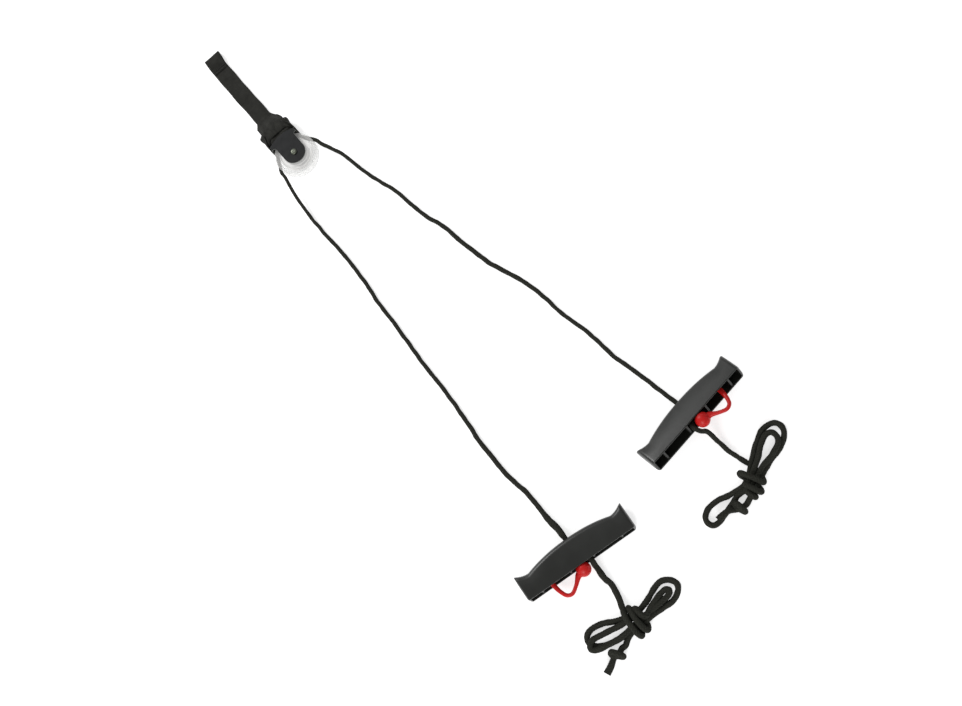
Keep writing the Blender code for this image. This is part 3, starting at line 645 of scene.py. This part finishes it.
def rope(name, points, seed, girth=CORD_RADIUS, wander=0.00018, floor=True):
    """A braided cord along the points. girth is its radius, or (distance, radius) pairs."""
    path, along = through(points, ROPE_STEP)
    normal, binormal = carried_frames(path, ROPE_SIDE)
    rng = np.random.default_rng(seed)
    calm_end = 0.012
    settle = ease(along / calm_end) * ease((along[-1] - along) / calm_end)

    def drift(waves):
        """Uneven waves, stronger in some places than in others."""
        total = 0
        for wave in waves:
            slow = 2 * pi * along / (wave * rng.uniform(3.1, 5.3))
            gate = 0.5 + 0.5 * np.sin(slow + rng.uniform(0, 2 * pi))
            total += rng.uniform(0.7, 1.3) * gate * np.sin(2 * pi * along / wave + rng.uniform(0, 2 * pi))
        return total

    for direction, share in ((normal, 0.6), (binormal, 1.0)):
        path = path + direction * (wander * share * drift(LONG_WAVES) * settle)[:, None]
    if isinstance(girth, tuple):
        places, radii = zip(*girth)
        size = np.interp(along, places, radii)
        size = np.convolve(np.pad(size, 6, mode="edge"), np.ones(13) / 13, mode="valid")
    else:
        size = np.full(len(along), girth)
    size = size * (1 + 0.035 * drift(SHORT_WAVES) * settle)
    if floor:
        path[:, 2] = np.maximum(path[:, 2], size * 1.02)
    sides = 20
    around = np.linspace(0, 2 * pi, sides, endpoint=False) / (2 * pi)
    lift = braid(around[None, :], along[:, None])
    reach = size[:, None] * (0.95 + 0.075 * lift)
    return tube(name, path, reach, sides, ROPE_SIDE, v=along, attribute=lift, sharp=80)


def groove_exit(side):
    angle = side.leave
    outward = 1 if cos(angle) > 0 else -1
    place = Vector((CORD_RING * cos(angle), CORD_RING * sin(angle), CORD_Z))
    return place, Vector((outward * sin(angle), -outward * cos(angle), 0))


def run_points(side):
    """The slack run from the sheave to the grip: the CAD part's path, with the photo's kinks added."""
    start, leaving = groove_exit(side)
    before_grip = in_handle(side, 0, -0.012)
    before_grip.z = max(before_grip.z, CORD_RADIUS)
    straight, fall, rise = 0.0145, 0.085, 0.05
    exit_point = start + leaving * straight
    line = before_grip - exit_point
    length = sqrt(line.x**2 + line.y**2)
    across = Vector((-line.y, line.x, 0)).normalized()
    count = 90
    points = []
    for i in range(count + 1):
        share = i / count
        bend = sum(h * sin(k * pi * share) for k, h in enumerate(side.waves, 1))
        bend += sum(h * float(bump_at(share * length, at, reach)) for at, h, reach in side.kinks)
        place = exit_point + line * share + across * bend
        low = CORD_RADIUS * 1.04
        from_sheave = float(ease(share * length / fall))
        to_grip = float(ease(1 - (1 - share) * length / rise))
        place.z = CORD_Z + (low - CORD_Z) * from_sheave + (before_grip.z - low) * to_grip
        points.append(place)
    return points


def build_cord_over(material):
    """The cord in the groove, a little way past each point where it leaves."""
    first, last = [start + leaving * 0.004 for start, leaving in (groove_exit(RIGHT), groove_exit(LEFT))]
    groove = arc((0, 0), CORD_RING, RIGHT.leave, LEFT.leave, 16)
    points = [first, *(Vector((x, y, CORD_Z)) for x, y in groove), last]
    obj = rope("cord_in_groove", points, 3, girth=CORD_RADIUS * 0.98, wander=0.0, floor=False)
    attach(dress(obj, material), "block")
    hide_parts("cord_over_sheave")


def build_run(side, material):
    name = side.name
    start, leaving = groove_exit(side)
    inside = [in_handle(side, 0, 0.0), in_handle(side, 0, 0.006)]
    past_groove, blend_start, blend_end = 0.007, 0.012, -0.020
    points = [start, start + leaving * past_groove, *run_points(side), *inside]
    obj = rope("cord_run_visual_" + name, points, 11 if name == "left" else 12, girth=side.run_girth)
    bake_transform(dress(obj, material))
    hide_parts("cord_run_" + name)


def knot_points(side):
    """An overhand stopper knot: in along the line, round it once and out below. local is in millimetres."""
    turn = Matrix.Rotation(side.knot_turn, 4, "Z")
    local = (
        (7.2, 0.4, 3.3), (4.6, -0.4, 4.6), (1.6, -1.2, 5.6), (-1.4, -0.4, 5.4), (-3.8, 2.0, 4.6),
        (-4.2, 4.8, 4.2), (-2.4, 5.6, 6.4), (-0.8, 2.6, 9.0), (0.6, -1.2, 9.4), (2.0, -4.8, 7.0),
        (1.9, -6.0, 3.9), (0.2, -3.6, 2.6), (-2.0, -0.6, 2.6), (-5.0, 0.2, 2.7),
    )
    points = []
    for x, y, z in local:
        place = side.knot + turn @ Vector((x, y, 0)) / 1000
        place.z = z / 1000
        points.append(place)
    return points


def build_tail(side, material):
    """The cord from the handle through the tail, the hank and the stopper knot to the cut end."""
    name = side.name
    points = [in_handle(side, side.anchor * x, depth) for x, depth in CORD_IN_HANDLE]
    points += [in_handle(side, side.anchor * x, depth, z) for x, depth, z in side.past_ball]
    points += [Vector(p) for p in side.tail + side.hank]
    points += knot_points(side)
    points += [Vector(p) for p in side.tip]
    total = through(points, ROPE_STEP)[1][-1]
    slack = side.tail_girth[-1][1]
    # wider towards the cut end
    girth = side.tail_girth + (
        (total - 0.020, slack), (total - 0.010, slack * 1.08), (total, slack * 1.27),
    )
    obj = rope("cord_tail_visual_" + name, points, 21 if name == "left" else 22, girth=girth)
    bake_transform(dress(obj, material))
    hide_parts("cord_tail_" + name, "cord_hank_" + name, "cord_end_" + name)


# --- handles
def crest_depth(x):
    x = abs(x)
    if x < NECK_X:
        return NECK_DEPTH * (x / NECK_X) ** 2.2
    share = (x - NECK_X) / (HANDLE_HALF - NECK_X)
    return NECK_DEPTH + (HORN_DEPTH - NECK_DEPTH) * share**2


def half_thickness(x):
    past = max(abs(x) - (HANDLE_HALF - END_ROUND), 0) / END_ROUND
    flat, rounded = 0.42, 0.58
    return HANDLE_HALF_THICK * (flat + rounded * sqrt(max(1 - past**2, 0)))


def mouth_depth(x):
    past = max(abs(x) - (HANDLE_HALF - CORNER_ROUND), 0)
    return HANDLE_DEPTH - (CORNER_ROUND - sqrt(max(CORNER_ROUND**2 - past**2, 0)))


def mirrored(x, side):
    """A ring at x from one side's (y, z) outline, mirrored in z."""
    return [(x, y, z) for y, z in side] + [(x, y, -z) for y, z in reversed(side)]


def handle_ring(x):
    """A ring round the grip: rounded at the crest, slightly crowned on the sides, and crisp at the mouth."""
    half = half_thickness(x)
    corner = min(CREST_ROUND, half * 0.85)
    top = -crest_depth(x)
    mouth = -mouth_depth(x)
    lip, crown = 0.00055, 0.0007
    side = []
    for k in range(7):
        angle = pi / 2 * k / 6
        side.append((top - corner + corner * sin(angle), half - corner + corner * cos(angle)))
    side = side[::-1]
    for share in (0.2, 0.4, 0.6, 0.8):
        y = (top - corner) + (mouth + lip - (top - corner)) * share
        side.append((y, half + crown * sin(pi * share)))
    side += [(mouth + lip, half), (mouth, half - lip)]
    return mirrored(x, side)


def handle_stations():
    body = list(np.linspace(0, NECK_X, 26)) + list(np.linspace(NECK_X, HANDLE_HALF - END_ROUND, 9)[1:])
    end = [HANDLE_HALF - END_ROUND * (1 - sin(pi / 2 * k / 6)) for k in range(1, 7)]
    half = body + end
    return [-x for x in reversed(half[1:])] + half


def bay_cutter(x_low, x_high, floor_depth=None, inset=0.0):
    """A cutter for one bay, swept along the grip: a flared mouth, straight walls and a rounded floor."""
    rings = []
    half = HANDLE_HALF_THICK - WALL - inset
    bevel = 0.0005
    inner = np.linspace(x_low + 0.0012, x_high - 0.0012, 6)
    stations = [x_low, x_low + bevel, *inner, x_high - bevel, x_high]
    for i, x in enumerate(stations):
        shy = bevel if i in (0, len(stations) - 1) else 0.0
        floor = -(floor_depth or max(crest_depth(x) + 2 * WALL, 0.0075)) - shy
        h = half - shy
        side = [(-HANDLE_DEPTH - 0.002, h + 0.0024), (-HANDLE_DEPTH + 0.0004, h), (floor - 0.0012, h),
                (floor - 0.0003, h - 0.0004), (floor, h - 0.0013)]
        rings.append(mirrored(x, side))
    return grid_object("cutter", rings)


def cylinder(radius, start, end, sides=32, tip=None):
    start, end = Vector(start), Vector(end)
    bm = bmesh.new()
    bmesh.ops.create_cone(bm, cap_ends=True, segments=sides, radius1=radius,
                          radius2=radius if tip is None else tip, depth=(end - start).length)
    turn = (end - start).to_track_quat("Z", "Y").to_matrix().to_4x4()
    bmesh.ops.transform(bm, matrix=Matrix.Translation((start + end) / 2) @ turn, verts=bm.verts)
    return add_object("cylinder", mesh_from(bm, "cylinder"))


def build_handle(side, material):
    handle = grid_object("handle_visual_" + side.name, [handle_ring(x) for x in handle_stations()])
    rib = RIB_THICK / 2
    end = HANDLE_HALF - WALL * 1.5
    cutters = [bay_cutter(-BOSS_X + rib, BOSS_X - rib, POCKET_DEPTH)]
    for sign in (-1, 1):
        spans = [(RIB_X + rib, end, None)]
        if sign == side.anchor:
            spans += [
                (BOSS_X + rib, SOCKET_X - SOCKET_HALF, None),
                (SOCKET_X - SOCKET_HALF - 0.001, SOCKET_X + SOCKET_HALF + 0.001, SOCKET_DEPTH),
                (SOCKET_X + SOCKET_HALF, RIB_X - rib, None),
            ]
        else:
            spans += [(BOSS_X + rib, RIB_X - rib, None)]
        for low, high, depth in spans:
            cutters.append(bay_cutter(*sorted((sign * low, sign * high)), depth))
    cutters.append(bay_cutter(-end + 0.0004, end - 0.0004, HANDLE_DEPTH - RIB_RECESS))
    cutters.append(cylinder(CORD_HOLE, (0, 0.004, 0), (0, -POCKET_DEPTH - 0.001, 0)))
    cutters.append(cylinder(CORD_HOLE_MOUTH, (0, 0.0012, 0), (0, -0.0016, 0), tip=CORD_HOLE))
    socket = side.anchor * SOCKET_X
    cutters.append(cylinder(ANCHOR_HOLE, (socket, -0.0112, 0), (socket, -SOCKET_DEPTH - 0.001, 0)))
    for cutter in cutters:
        boolean(handle, cutter, "DIFFERENCE")
    handle.matrix_world = handle_frame(side)
    even_normals(smooth(handle, 32))
    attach(dress(handle, material), "grip_" + side.name)
    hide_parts("handle_" + side.name)


PLUG_STEP = 0.0006
PLUG_VOXEL = 0.00034


def build_plug(side, material):
    """One red moulding: ball, stem, tail and anchor."""
    anchor = side.anchor
    name = side.name
    spine = through([(anchor * x, -depth, 0) for x, depth, _ in PLUG_TAIL], PLUG_STEP)[0]
    known = through([(anchor * x, -depth, r) for x, depth, r in PLUG_TAIL], PLUG_STEP)[0]
    size = np.interp(np.linspace(0, 1, len(spine)), np.linspace(0, 1, len(known)), known[:, 2])
    tail = tube("tail", spine, size[:, None], 20, flat=0.92)
    count = 40
    profile = []
    for i in range(1, count):
        turn = pi * i / count
        radius = BALL_RADIUS + 0.00012 * bump_at(turn, pi * 0.56, 0.035)
        profile.append((radius * sin(turn), radius * cos(turn)))
    spin = np.linspace(0, 2 * pi, 48, endpoint=False)
    centre = np.array([anchor * BALL_X, -BALL_DEPTH, 0])
    ball = grid_object("ball", [
        [centre + np.array([r * cos(a), h, r * sin(a)]) for a in spin] for r, h in profile
    ])
    stem_top = (anchor * 0.00245, -BALL_DEPTH + BALL_RADIUS * 0.8, 0)
    stem = cylinder(STEM_TOP, stem_top, (anchor * 0.0035, -0.0165, 0), 28, tip=STEM_FOOT)
    plug = boolean(boolean(ball, tail, "UNION"), stem, "UNION")
    plug.name = "plug_visual_" + name
    remesh_soften(plug, side)
    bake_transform(dress(plug, material))
    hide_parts("plug_ball_" + name, "plug_tail_" + name, "plug_anchor_" + name)


def remesh_soften(plug, side):
    """Rounds the joins between the ball, the tail and the stem."""
    remesh = plug.modifiers.new("Remesh", "REMESH")
    remesh.mode = "VOXEL"
    remesh.voxel_size = PLUG_VOXEL
    remesh.use_smooth_shade = True
    soften = plug.modifiers.new("Smooth", "SMOOTH")
    soften.factor = 0.5
    soften.iterations = 5
    settle_mesh(plug)
    plug.matrix_world = handle_frame(side)
    smooth(plug, 60)


# --- pulley block
def arc(centre, radius, start, end, steps):
    cx, cy = centre
    turns = [start + (end - start) * i / steps for i in range(steps + 1)]
    return [(cx + radius * cos(a), cy + radius * sin(a)) for a in turns]


def crown_arc(radius, half_width, steps=36):
    reach = atan2(half_width, sqrt(radius**2 - half_width**2))
    return arc((0, CROWN_CENTRE), radius, pi / 2 - reach, pi / 2 + reach, steps)


def rounded_plate(loops, z_low, z_high, edge):
    """A flat plate with rolled edges. The later outlines are its holes."""
    curve = bpy.data.curves.new("plate", "CURVE")
    curve.dimensions = "2D"
    curve.fill_mode = "BOTH"
    curve.extrude = (z_high - z_low) / 2 - edge
    curve.bevel_depth = edge
    curve.bevel_resolution = 2
    curve.offset = -edge
    for loop in loops:
        spline = curve.splines.new("POLY")
        spline.points.add(len(loop) - 1)
        for point, (x, y) in zip(spline.points, loop):
            point.co = (x, y, 0, 1)
        spline.use_cyclic_u = True
    obj = add_object("plate", curve)
    obj.location.z = (z_low + z_high) / 2
    mesh = evaluated_mesh(obj)
    mesh.transform(obj.matrix_world)
    bpy.data.objects.remove(obj, do_unlink=True)
    bm = bmesh.new()
    bm.from_mesh(mesh)
    bmesh.ops.remove_doubles(bm, verts=bm.verts, dist=2e-6)
    bmesh.ops.recalc_face_normals(bm, faces=bm.faces)
    bm.to_mesh(mesh)
    bm.free()
    return add_object("plate", mesh)


def cheek_outline():
    wide, tall, clip = 0.0018, 0.0022, 0.0006
    corner = [(TONGUE_RADIUS, EAR_LOW_Y - tall)]
    corner += [(TONGUE_RADIUS + wide * (1 - cos(a)), EAR_LOW_Y - tall + tall * sin(a))
               for a in np.linspace(0.3, pi / 2, 5)]
    corner += [(EAR_HALF - clip, EAR_LOW_Y), (EAR_HALF, EAR_LOW_Y + clip)]
    outline = arc((0, 0), TONGUE_RADIUS, pi, 2 * pi, 60) + corner
    outline += crown_arc(CROWN_RADIUS, EAR_HALF)
    outline += [(-x, y) for x, y in reversed(corner)]
    return outline


def build_bracket(material):
    front_top = BRACKET_HIGH.z
    rear_low = BRACKET_LOW.z
    rivet_hole, cheek_edge, band_edge = 0.0028, 0.00035, 0.0002
    loops = [cheek_outline(), arc((0, 0), rivet_hole, 0, 2 * pi, 32)[:-1]]
    front = rounded_plate(loops, front_top - SHEET, front_top, cheek_edge)
    rear = rounded_plate(loops, rear_low, rear_low + SHEET, cheek_edge)
    band = crown_arc(CROWN_RADIUS - band_edge, EAR_HALF - band_edge)
    band += crown_arc(CROWN_RADIUS - SHEET, EAR_HALF - band_edge)[::-1]
    bridge = rounded_plate([band], rear_low + SHEET * 0.6, front_top - SHEET * 0.6, band_edge)
    bracket = join("bracket_visual", [front, rear, bridge])
    even_normals(smooth(bracket, 40))
    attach(dress(bracket, material), "block")
    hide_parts("pulley_bracket")


def turned(name, profile, steps, middle, open_ends=False):
    """A turned piece about Z. A profile that starts and ends on the axis is capped there."""
    angle = np.linspace(0, 2 * pi, steps, endpoint=False)
    rings = [
        [(middle.x + r * cos(a), middle.y + r * sin(a), middle.z + z) for a in angle] for r, z in profile
    ]
    return grid_object(name, rings, lengthwise=not open_ends, sharp=35)


def build_sheave(material):
    rim, floor_radius = 0.006, 0.0200
    radius = SHEAVE_RADIUS
    half = [
        # hub, web and its raised ring
        (0.0045, 0.0070), (0.0083, 0.0070), (0.0086, 0.0067), (0.0090, 0.0050), (0.0094, 0.0046),
        (0.0125, 0.0046), (0.0129, 0.0050), (0.0140, 0.0050), (0.0144, 0.0046), (0.0166, 0.0046),
        # flange and its lip
        (0.0170, 0.0049), (0.0176, 0.0058), (0.0181, rim), (0.0203, rim), (0.0206, rim - 0.0003),
        (0.0209, rim - 0.0003), (0.0212, rim), (radius - 0.0006, rim), (radius - 0.0002, rim - 0.0002),
        (radius, rim - 0.0006), (radius, rim - 0.0011), (radius - 0.0003, rim - 0.0014),
    ]
    groove = []
    for k in range(9):
        share = k / 8
        r = floor_radius + (radius - 0.0003 - floor_radius) * (1 - share) ** 1.6
        groove.append((r, (rim - 0.0014) * (1 - share) ** 0.8 + 0.0002 * share))
    upper = half + groove[1:-1]
    profile = upper + [(0.0197, 0.0)] + [(r, -z) for r, z in reversed(upper)]
    sheave = turned("sheave_visual", profile, 144, SHEAVE_MID)
    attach(dress(sheave, material), "sheave")
    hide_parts("sheave")


def build_rivet(material):
    low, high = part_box("axle_rivet")
    head, shank, head_height, on_axis = 0.0035, 0.0025, 0.0018, 0.00001
    top, base = high.z, low.z
    dome = ((on_axis, 0.0004), (0.0006, 0.0004), (0.0009, 0.0001), (0.0014, 0.0), (0.0022, 0.0001),
            (0.0029, 0.0004), (0.0033, 0.0009), (head, 0.0014), (head, head_height), (shank, head_height))
    profile = [(r, top - drop) for r, drop in dome]
    profile += [(shank, base + head_height), (head, base + head_height), (head, base + 0.0002),
                (head - 0.0002, base), (on_axis, base)]
    rivet = turned("rivet_visual", profile, 48, Vector((0, 0, 0)), open_ends=True)
    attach(dress(rivet, material), "block")
    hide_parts("axle_rivet")


# --- webbing
WEB_THICK = 0.0013
WEB_HALF = 0.0100
STRAP_SHIFT = -0.0012
HEM_HALF = 0.0039
HEM_TOP = 0.0041
HEM_SLOPE = 0.18
STITCH_ROWS = (0.1546, 0.1572)
STITCHES = 7
STITCH_PITCH = 0.00255
THREAD_RADIUS = 0.00030


def strap_drift(y):
    """Sideways drift of the strap's middle along its length."""
    return STRAP_SHIFT + 0.0018 * ease((y - 0.158) / 0.016) + 0.00018 * np.sin(y * 95)


def strip(name, path, half_width, sideways, cup):
    """Webbing along a path in the YZ plane. half_width and sideways are arrays along the path, and cup is a
    function (index, share across from -1 to 1) that gives the height added there."""
    path = np.asarray(path, float)
    share = np.linspace(-1, 1, 21)
    rings = []
    for i, ((y, z), (ty, tz)) in enumerate(zip(path, tangents(path))):
        ny, nz = -tz, ty
        top, low = [], []
        for s in share:
            lift = cup(i, s)
            half = WEB_THICK / 2 * rolled_edge(s, 0.94) * (1 + 0.10 * float(bump_at(abs(s), 0.9, 0.05)))
            x = sideways[i] + half_width[i] * s
            top.append((x, y + ny * (lift + half), z + nz * (lift + half)))
            low.append((x, y + ny * (lift - half), z + nz * (lift - half)))
        rings.append(top + low[::-1])
    return grid_object(name, rings, u=flat_u(share * half_width.mean()), v=distance_along(path), sharp=60)


def strap_edges(y):
    """The strap's left and right edges: even along its length, and gathered out to the collar."""
    drift = strap_drift(y) * ease((y - 0.060) / 0.012)
    left = -WEB_HALF + drift - 0.0056 * ease((0.0695 - y) / 0.0085)
    right = WEB_HALF + drift + 0.0060 * np.clip((0.0690 - y) / 0.0175, 0, 1)
    left = left - 0.0002 * np.sin(y * 190)
    return left, right + 0.00015 * np.sin(y * 230 + 1) + 0.0006 * ease((y - 0.166) / 0.009)


def build_strap(material, thread):
    """The strap's two layers, from inside the collar to the hem, where the lower one goes round the rod."""
    nose_y = STRAP_END_Y - HEM_HALF
    radius = HEM_HALF - WEB_THICK / 2
    start_y, step = 0.040, 0.0015
    flat = np.arange(start_y, nose_y, step)

    def lower_z(y):
        return 0.00070 + 0.0040 * ease((0.068 - y) / 0.018) + 0.00018 * np.sin(y * 160)

    def upper_z(y):
        rise = 0.0150 * ease((0.0735 - y) / 0.030)
        return 0.00212 + rise + 0.00020 * np.sin(y * 160 + 0.6)

    nose = [(nose_y + radius * sin(a), HEM_HALF - radius * cos(a)) for a in np.linspace(0, pi * 0.92, 15)]
    back = [(y, 0.0034 + 0.0037 * float(ease((y - 0.1565) / 0.0125)))
            for y in np.arange(nose_y - 0.0035, 0.1525, -0.0012)]
    lower = [(y, float(lower_z(y))) for y in flat] + nose[1:] + back
    upper = [(y, float(upper_z(y))) for y in np.arange(start_y, 0.1605, step)]
    layers = []
    for name, path, sign in (("lower", lower, 1), ("upper", upper, -1)):
        ys = np.array([p[0] for p in path])
        gather = ease((0.0705 - ys) / 0.018)
        left, right = strap_edges(ys)
        width, drift = (right - left) / 2, (right + left) / 2

        def cup(i, s, gather=gather, sign=sign):
            curl = 0.0042 * abs(s) ** 3.0
            pleat = 0.0008 * cos(3.2 * pi * s + 0.7) + 0.0005 * sin(5 * s + 1.0)
            gathered = float(gather[i]) * (sign * curl + pleat * (1 - abs(s) ** 4))
            return gathered + 0.00010 * sin(4 * s + i * 0.15)

        layers.append(strip("strap_" + name, path, width, drift, cup))
    strap = join("strap_visual", layers)
    smooth(strap, 55)
    dress(strap, material)
    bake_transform(strap)
    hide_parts("strap_webbing")

    loop = ((-0.00105, -0.0004), (-0.0008, 0.00005), (0, 0.00018), (0.0008, 0.00005), (0.00105, -0.0004))
    stitches = []
    for row_y in STITCH_ROWS:
        z = HEM_TOP + HEM_SLOPE * (row_y - STITCH_ROWS[0])
        for k in range(STITCHES):
            middle = STRAP_SHIFT + (k - (STITCHES - 1) / 2) * STITCH_PITCH
            path = through([(middle + dx, row_y, z + dz) for dx, dz in loop], 0.0003)[0]
            stitches.append(tube("stitch", path, np.full((len(path), 1), THREAD_RADIUS), 8))
    seam = join("hem_stitches", stitches)
    smooth(seam, 60)
    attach(dress(seam, thread), "strap")
    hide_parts("hem_stitch")


def build_collar():
    """The part of the hitch that goes round the gathered strap, just above the bracket."""
    count = 120
    across = 17
    rows = []
    for i in range(count):
        a = 2 * pi * i / count
        cx, cz = boxed(cos(a), 0.58), boxed(sin(a), 0.62)
        outer_row, inner_row = [], []
        for k in range(across):
            w = k / (across - 1)
            x0 = (0.0181 if cx > 0 else 0.0187) * cx
            front = float(ease(cz + 0.6))
            y_high = 0.0476 + (0.0031 - 0.0048 * min(((x0 + 0.002) / 0.0150) ** 2, 1.0)) * front
            y_low = 0.0342 - 0.0052 * float(ease((abs(x0) - 0.0105) / 0.006)) - 0.0005 * front
            y = y_low + (y_high - y_low) * w
            bulge = 0.0008 * float(bump_at(y, 0.0455, 0.005)) - 0.0004 * float(bump_at(y, 0.038, 0.004))
            x = x0 + bulge * cx
            top_z = 0.0196 - 0.0042 * float(ease((y - 0.031) / 0.022))
            low_z = 0.0030
            middle, tall = (top_z + low_z) / 2, (top_z - low_z) / 2
            ripple = 0.00035 * sin(x * 420 + y * 260) + 0.00025 * sin(x * 900 - y * 150)
            pinch = -float(bump_at(x, 0.0129, 0.0022) * bump_at(w, 1.0, 0.30)) * front
            roll = -0.0010 * float(bump_at(w, 0.0, 0.16)) - 0.0006 * float(bump_at(w, 1.0, 0.12))
            z = middle + tall * cz + (ripple + 0.0012 * pinch + roll) * cz
            out = Vector((cx * 0.5, 0, cz)).normalized()
            half = WEB_THICK / 2 * rolled_edge(2 * w - 1, 0.88, 0.8)
            centre = Vector((x, y, z))
            outer_row.append(centre + out * half)
            inner_row.append(centre - out * half)
        rows.append(outer_row + inner_row[::-1])
    u = flat_u(np.linspace(-WEB_HALF, WEB_HALF, across))
    v = np.linspace(0, 0.096, count + 1)
    return grid_object("collar", rows, u=u, v=v, lengthwise=True, sharp=60)


def build_sling():
    """The webbing that passes between the bridge and the sheave, and up past each ear into the collar."""
    half = [(0.0, 0.0250), (0.0060, 0.0246), (0.0110, 0.0232), (0.0148, 0.0212), (0.0166, 0.0193),
            (0.0176, 0.0184), (0.0183, 0.0191), (0.0184, 0.0215), (0.0183, 0.0255), (0.0178, 0.0290),
            (0.0167, 0.0325), (0.0153, 0.0370), (0.0143, 0.0420)]
    outline = [(-x, y, 0) for x, y in reversed(half[1:])] + [(x, y, 0) for x, y in half]
    path, along = through(outline, 0.0008)
    half_width, half_thick = 0.0080, 0.00055
    across = np.linspace(-1, 1, 13)
    rings = []
    for i, (place, (tx, ty, _)) in enumerate(zip(path, tangents(path))):
        normal = np.array([-ty, tx, 0])
        top, under = [], []
        for s in across:
            h = half_thick * rolled_edge(s, 0.9)
            ripple = 0.00012 * sin(6 * s + i * 0.2)
            point = np.array([place[0], place[1], MID_Z + half_width * s])
            top.append(point + normal * (h + ripple))
            under.append(point - normal * (h - ripple))
        rings.append(top + under[::-1])
    return grid_object("sling", rings, u=flat_u(across * half_width), v=along, sharp=60)


def build_core():
    """The folded webbing inside the collar, down to the bridge."""
    table = np.array((
        # y, half width, lowest z, highest z, sideways shift
        (0.0284, 0.0166, 0.0052, 0.0178, 0.0),
        (0.0300, 0.0174, 0.0044, 0.0184, 0.0),
        (0.0340, 0.0172, 0.0040, 0.0172, 0.0),
        (0.0400, 0.0166, 0.0036, 0.0162, 0.0),
        (0.0460, 0.0158, 0.0036, 0.0146, 0.0002),
        (0.0510, 0.0150, 0.0034, 0.0120, 0.0004),
        (0.0550, 0.0138, 0.0032, 0.0096, 0.0004),
        (0.0590, 0.0118, 0.0030, 0.0074, 0.0),
        (0.0625, 0.0096, 0.0026, 0.0052, -0.0004),
    ))
    ys = np.linspace(table[0, 0], table[-1, 0], 40)
    columns = [np.interp(ys, table[:, 0], table[:, k]) for k in range(1, 5)]
    angle = np.linspace(0, 2 * pi, 72, endpoint=False)
    rings = []
    for y, half, low, high, shift in zip(ys, *columns):
        ring = []
        for a in angle:
            cx, cz = boxed(cos(a), 0.6), boxed(sin(a), 0.6)
            fold = 1 + 0.05 * sin(7 * a + y * 200) + 0.03 * sin(13 * a - y * 330)
            ring.append((shift + half * cx, y, (low + high) / 2 + (high - low) / 2 * cz * fold))
        rings.append(ring)
    u = np.linspace(0, 0.08, len(angle) + 1)
    return grid_object("core", rings, u=u, v=ys, sharp=60)


def build_hitch(material):
    """The hitch in one piece: sling, folded core and collar."""
    hitch = join("hitch_visual", [build_collar(), build_sling(), build_core()])
    smooth(hitch, 60)
    dress(hitch, material)
    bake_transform(hitch)
    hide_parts("strap_hitch")


# --- build
cord = cord_material()
webbing = webbing_material()
steel = bright_steel()
black_plastic = handle_material()
red = plug_material()

build_strap(webbing, thread_material())
build_hitch(webbing)
build_bracket(painted_steel())
build_sheave(sheave_material())
build_rivet(steel)
for node in ("axle_bush", "washer_front", "washer_rear"):
    dress(frame["nodes"][node], steel)
dress(frame["nodes"]["door_stop_rod"], rod_material())
build_cord_over(cord)
for one_side in (LEFT, RIGHT):
    build_run(one_side, cord)
    build_tail(one_side, cord)
    build_handle(one_side, black_plastic)
    build_plug(one_side, red)


# --- stage
FLOOR_REACH = 25
FLOOR_Z = -0.0004
MIDDLE = (0, -0.3, 0)


def build_floor():
    bm = bmesh.new()
    bmesh.ops.create_grid(bm, x_segments=1, y_segments=1, size=FLOOR_REACH)
    floor = add_object("floor", mesh_from(bm, "floor"))
    floor.location = (*MIDDLE[:2], FLOOR_Z)
    s = Shader("pale_floor", (0.80, 0.80, 0.80), 0.9)
    s.put("Specular IOR Level", 0.0)
    s.put("Emission Color", (1, 1, 1, 1))
    s.put("Emission Strength", 0.62)
    floor.data.materials.append(s.material)


def area_light(name, place, target, size, power):
    data = bpy.data.lights.new(name, "AREA")
    data.shape = "DISK"
    data.size = size
    data.energy = power
    light = add_object(name, data)
    light.location = place
    light.rotation_mode = "QUATERNION"
    light.rotation_quaternion = (Vector(target) - Vector(place)).to_track_quat("-Z", "Y")


def build_light():
    world = bpy.data.worlds.new("studio")
    world.use_nodes = True
    tree = world.node_tree
    background = tree.nodes["Background"]
    background.inputs["Color"].default_value = (1, 1, 1, 1)
    seen = tree.nodes.new("ShaderNodeLightPath")
    strength = tree.nodes.new("ShaderNodeMapRange")
    strength.inputs["To Min"].default_value = 0.40
    strength.inputs["To Max"].default_value = 1.0
    tree.links.new(seen.outputs["Is Camera Ray"], strength.inputs["Value"])
    tree.links.new(strength.outputs["Result"], background.inputs["Strength"])
    bpy.context.scene.world = world
    middle = (0.03, -0.3, 0)
    area_light("key", place=(-0.5, 1.3, 1.25), target=middle, size=0.7, power=19)
    area_light("fill", place=(-0.9, -1.6, 0.9), target=middle, size=0.9, power=14)


def build_camera():
    """Looks down as the photo does, rolled so that the strap points up and left."""
    elevation, roll, distance = radians(70), radians(41.4), 1.6
    target = Vector((0.0080, -0.3145, 0))
    back = Vector((0, -cos(elevation), sin(elevation)))
    right = Vector((1, 0, 0))
    up = Vector((0, sin(elevation), cos(elevation)))
    rolled_right = right * cos(roll) - up * sin(roll)
    rolled_up = right * sin(roll) + up * cos(roll)
    axes = Matrix((rolled_right, rolled_up, back)).transposed()
    data = bpy.data.cameras.new("camera")
    data.lens = 57.2
    data.clip_start = 0.05
    camera = add_object("camera", data)
    camera.matrix_world = Matrix.Translation(target + back * distance) @ axes.to_4x4()
    bpy.context.scene.camera = camera


build_floor()
build_light()
build_camera()
bpy.context.scene.view_settings.view_transform = "Standard"
